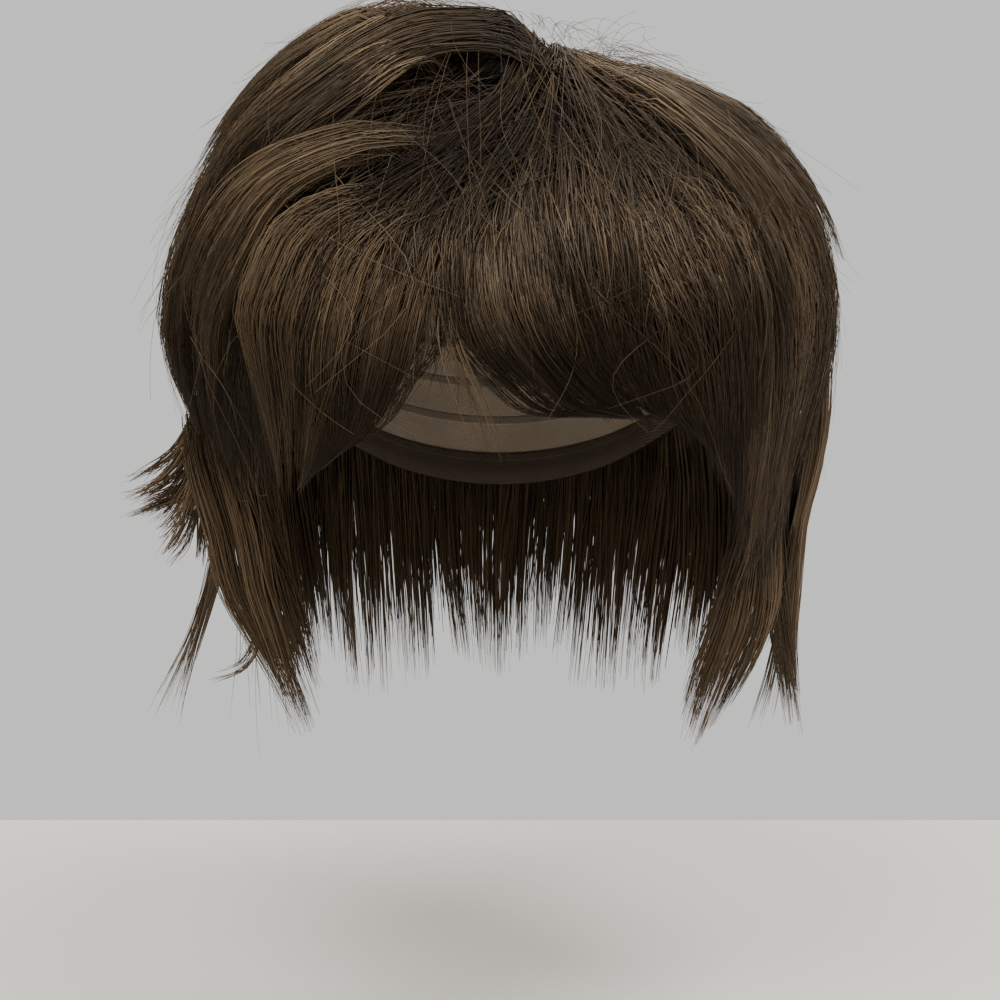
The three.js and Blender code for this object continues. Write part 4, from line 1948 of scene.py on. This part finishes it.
TRESSES = (
    Tress(
        "fringe_left_hair", Layer.TOP,
        (
            Lock("fringe_left_1", 0, 8, 2, 0, 0),
            Lock("fringe_left_2", 8, 22, 6, 1, 1, light=0.04),
            Lock("fringe_left_3", 22, 36, 9, 0, -1, light=-0.04),
            Lock("fringe_left_4", 36, 50, 2, -2, 1, light=0.05, fade=0.8),
        ),
        FRINGE_LEFT, seed=11, sprays=(LEFT_RECESS, LEFT_OF_PART, IN_THE_PART, END_OF_FRINGE, FRINGE_BACK),
        extra_nodes=("whorl",),
    ),
    Tress(
        "fringe_right_hair", Layer.TOP,
        (
            # Painted shade: fringe_right_4 and temple_right are darker where they lie sunk in the hollow
            # beside the side piece of the fringe.
            Lock("fringe_right_4", 308, 320, 4, 2, -8, light=-0.35),
            Lock("fringe_right_3", 320, 332, 2, 0, 2),
            Lock("fringe_right_2", 332, 343, 0, 0, 0),
            Lock("fringe_right_1", 343, 354, -4, 0, 1),
        ),
        FRINGE_RIGHT, seed=12, sprays=(RIGHT_RECESS, RIGHT_OF_PART, RIGHT_SWEEP[-1]),
    ),
    Tress(
        "crown_left_hair", Layer.TOP,
        (
            # Painted highlight: temple_left and crown_left_1 are lighter where the top light falls on the
            # shoulder.
            Lock("temple_left", 50, 68, -4, -2, -2, light=0.18),
            Lock("crown_left_1", 68, 88, -4, 0, 0, light=0.2),
            Lock("crown_left_2", 88, 110, 6, 0, 0),
            Lock("crown_left_3", 110, 132, 0, 3, -3),
        ),
        CROWN_LEFT, seed=13, sprays=(LEFT_SHOULDER,), layers=6,
    ),
    Tress(
        "crown_right_hair", Layer.TOP,
        (
            Lock("crown_right_1", 228, 250, 4, 2, 2),
            Lock("crown_right_2", 250, 272, 0, 2, 0),
            Lock("crown_right_3", 272, 292, -6, 4, 1, light=-0.1),
            Lock("temple_right", 292, 308, 2, 0, -6, light=-0.25),
        ),
        CROWN, seed=14, sprays=RIGHT_SWEEP[:-1], layers=4,
    ),
    Tress(
        "crown_back_hair", Layer.TOP,
        (
            Lock("crown_back_1", 132, 156, 4, 0, 2),
            Lock("crown_back_2", 156, 180, -4, 4, -2),
            Lock("crown_back_3", 180, 204, 5, 0, 3),
            Lock("crown_back_4", 204, 228, -2, 4, -2),
        ),
        REAR, seed=15, layers=7,
    ),
    Tress(
        "side_left_hair", Layer.UNDER,
        # Painted shade: the side locks are darker beneath the top layer.
        (Lock("side_left_1", 70, 90, 0, -6, light=-0.3), Lock("side_left_2", 90, 110, 2, 22, light=-0.3)),
        LOW, seed=21, sprays=LEFT_ENDS,
    ),
    Tress(
        "side_right_hair", Layer.UNDER,
        (
            Lock("flick_right", 244, 263, -60, 46),
            Lock("wisp_right", 263, 270, -2, 34),
            # Painted shade: the side locks are darker beneath the top layer.
            Lock("side_right", 270, 292, 0, -6, light=-0.3),
        ),
        LOW, seed=22, sprays=RIGHT_ENDS,
    ),
    Tress(
        "nape_hair", Layer.UNDER,
        (
            Lock("nape_1", 110, 138, -4, 2),
            Lock("nape_2", 138, 166, 2, 0),
            Lock("nape_3", 166, 194, -2, 4),
            Lock("nape_4", 194, 222, 2, 0),
            Lock("nape_5", 222, 244, -6, 2),
        ),
        NAPE, seed=42,
    ),
)


def main() -> None:
    """Build the wig and the studio."""
    logging.basicConfig(level=logging.INFO)
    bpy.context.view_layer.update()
    skin = StrandSkin("strand_skin")
    finishes = {Layer.TOP: TOP_FINISH.material(), Layer.UNDER: UNDER_FINISH.material()}
    pieces = [Cap().build(CAP_FINISH.material())]
    pieces += [tress.build(skin, finishes[tress.layer]) for tress in TRESSES]
    pieces.append(FlyAways().build(skin, finishes[Layer.TOP]))
    Studio().build()
    total = 0
    for piece in pieces:
        piece.data.calc_loop_triangles()
        count = len(piece.data.loop_triangles)
        total += count
        LOG.info("%s: %d triangles", piece.name, count)
    LOG.info("all: %d triangles", total)


if __name__ == "__main__":
    main()
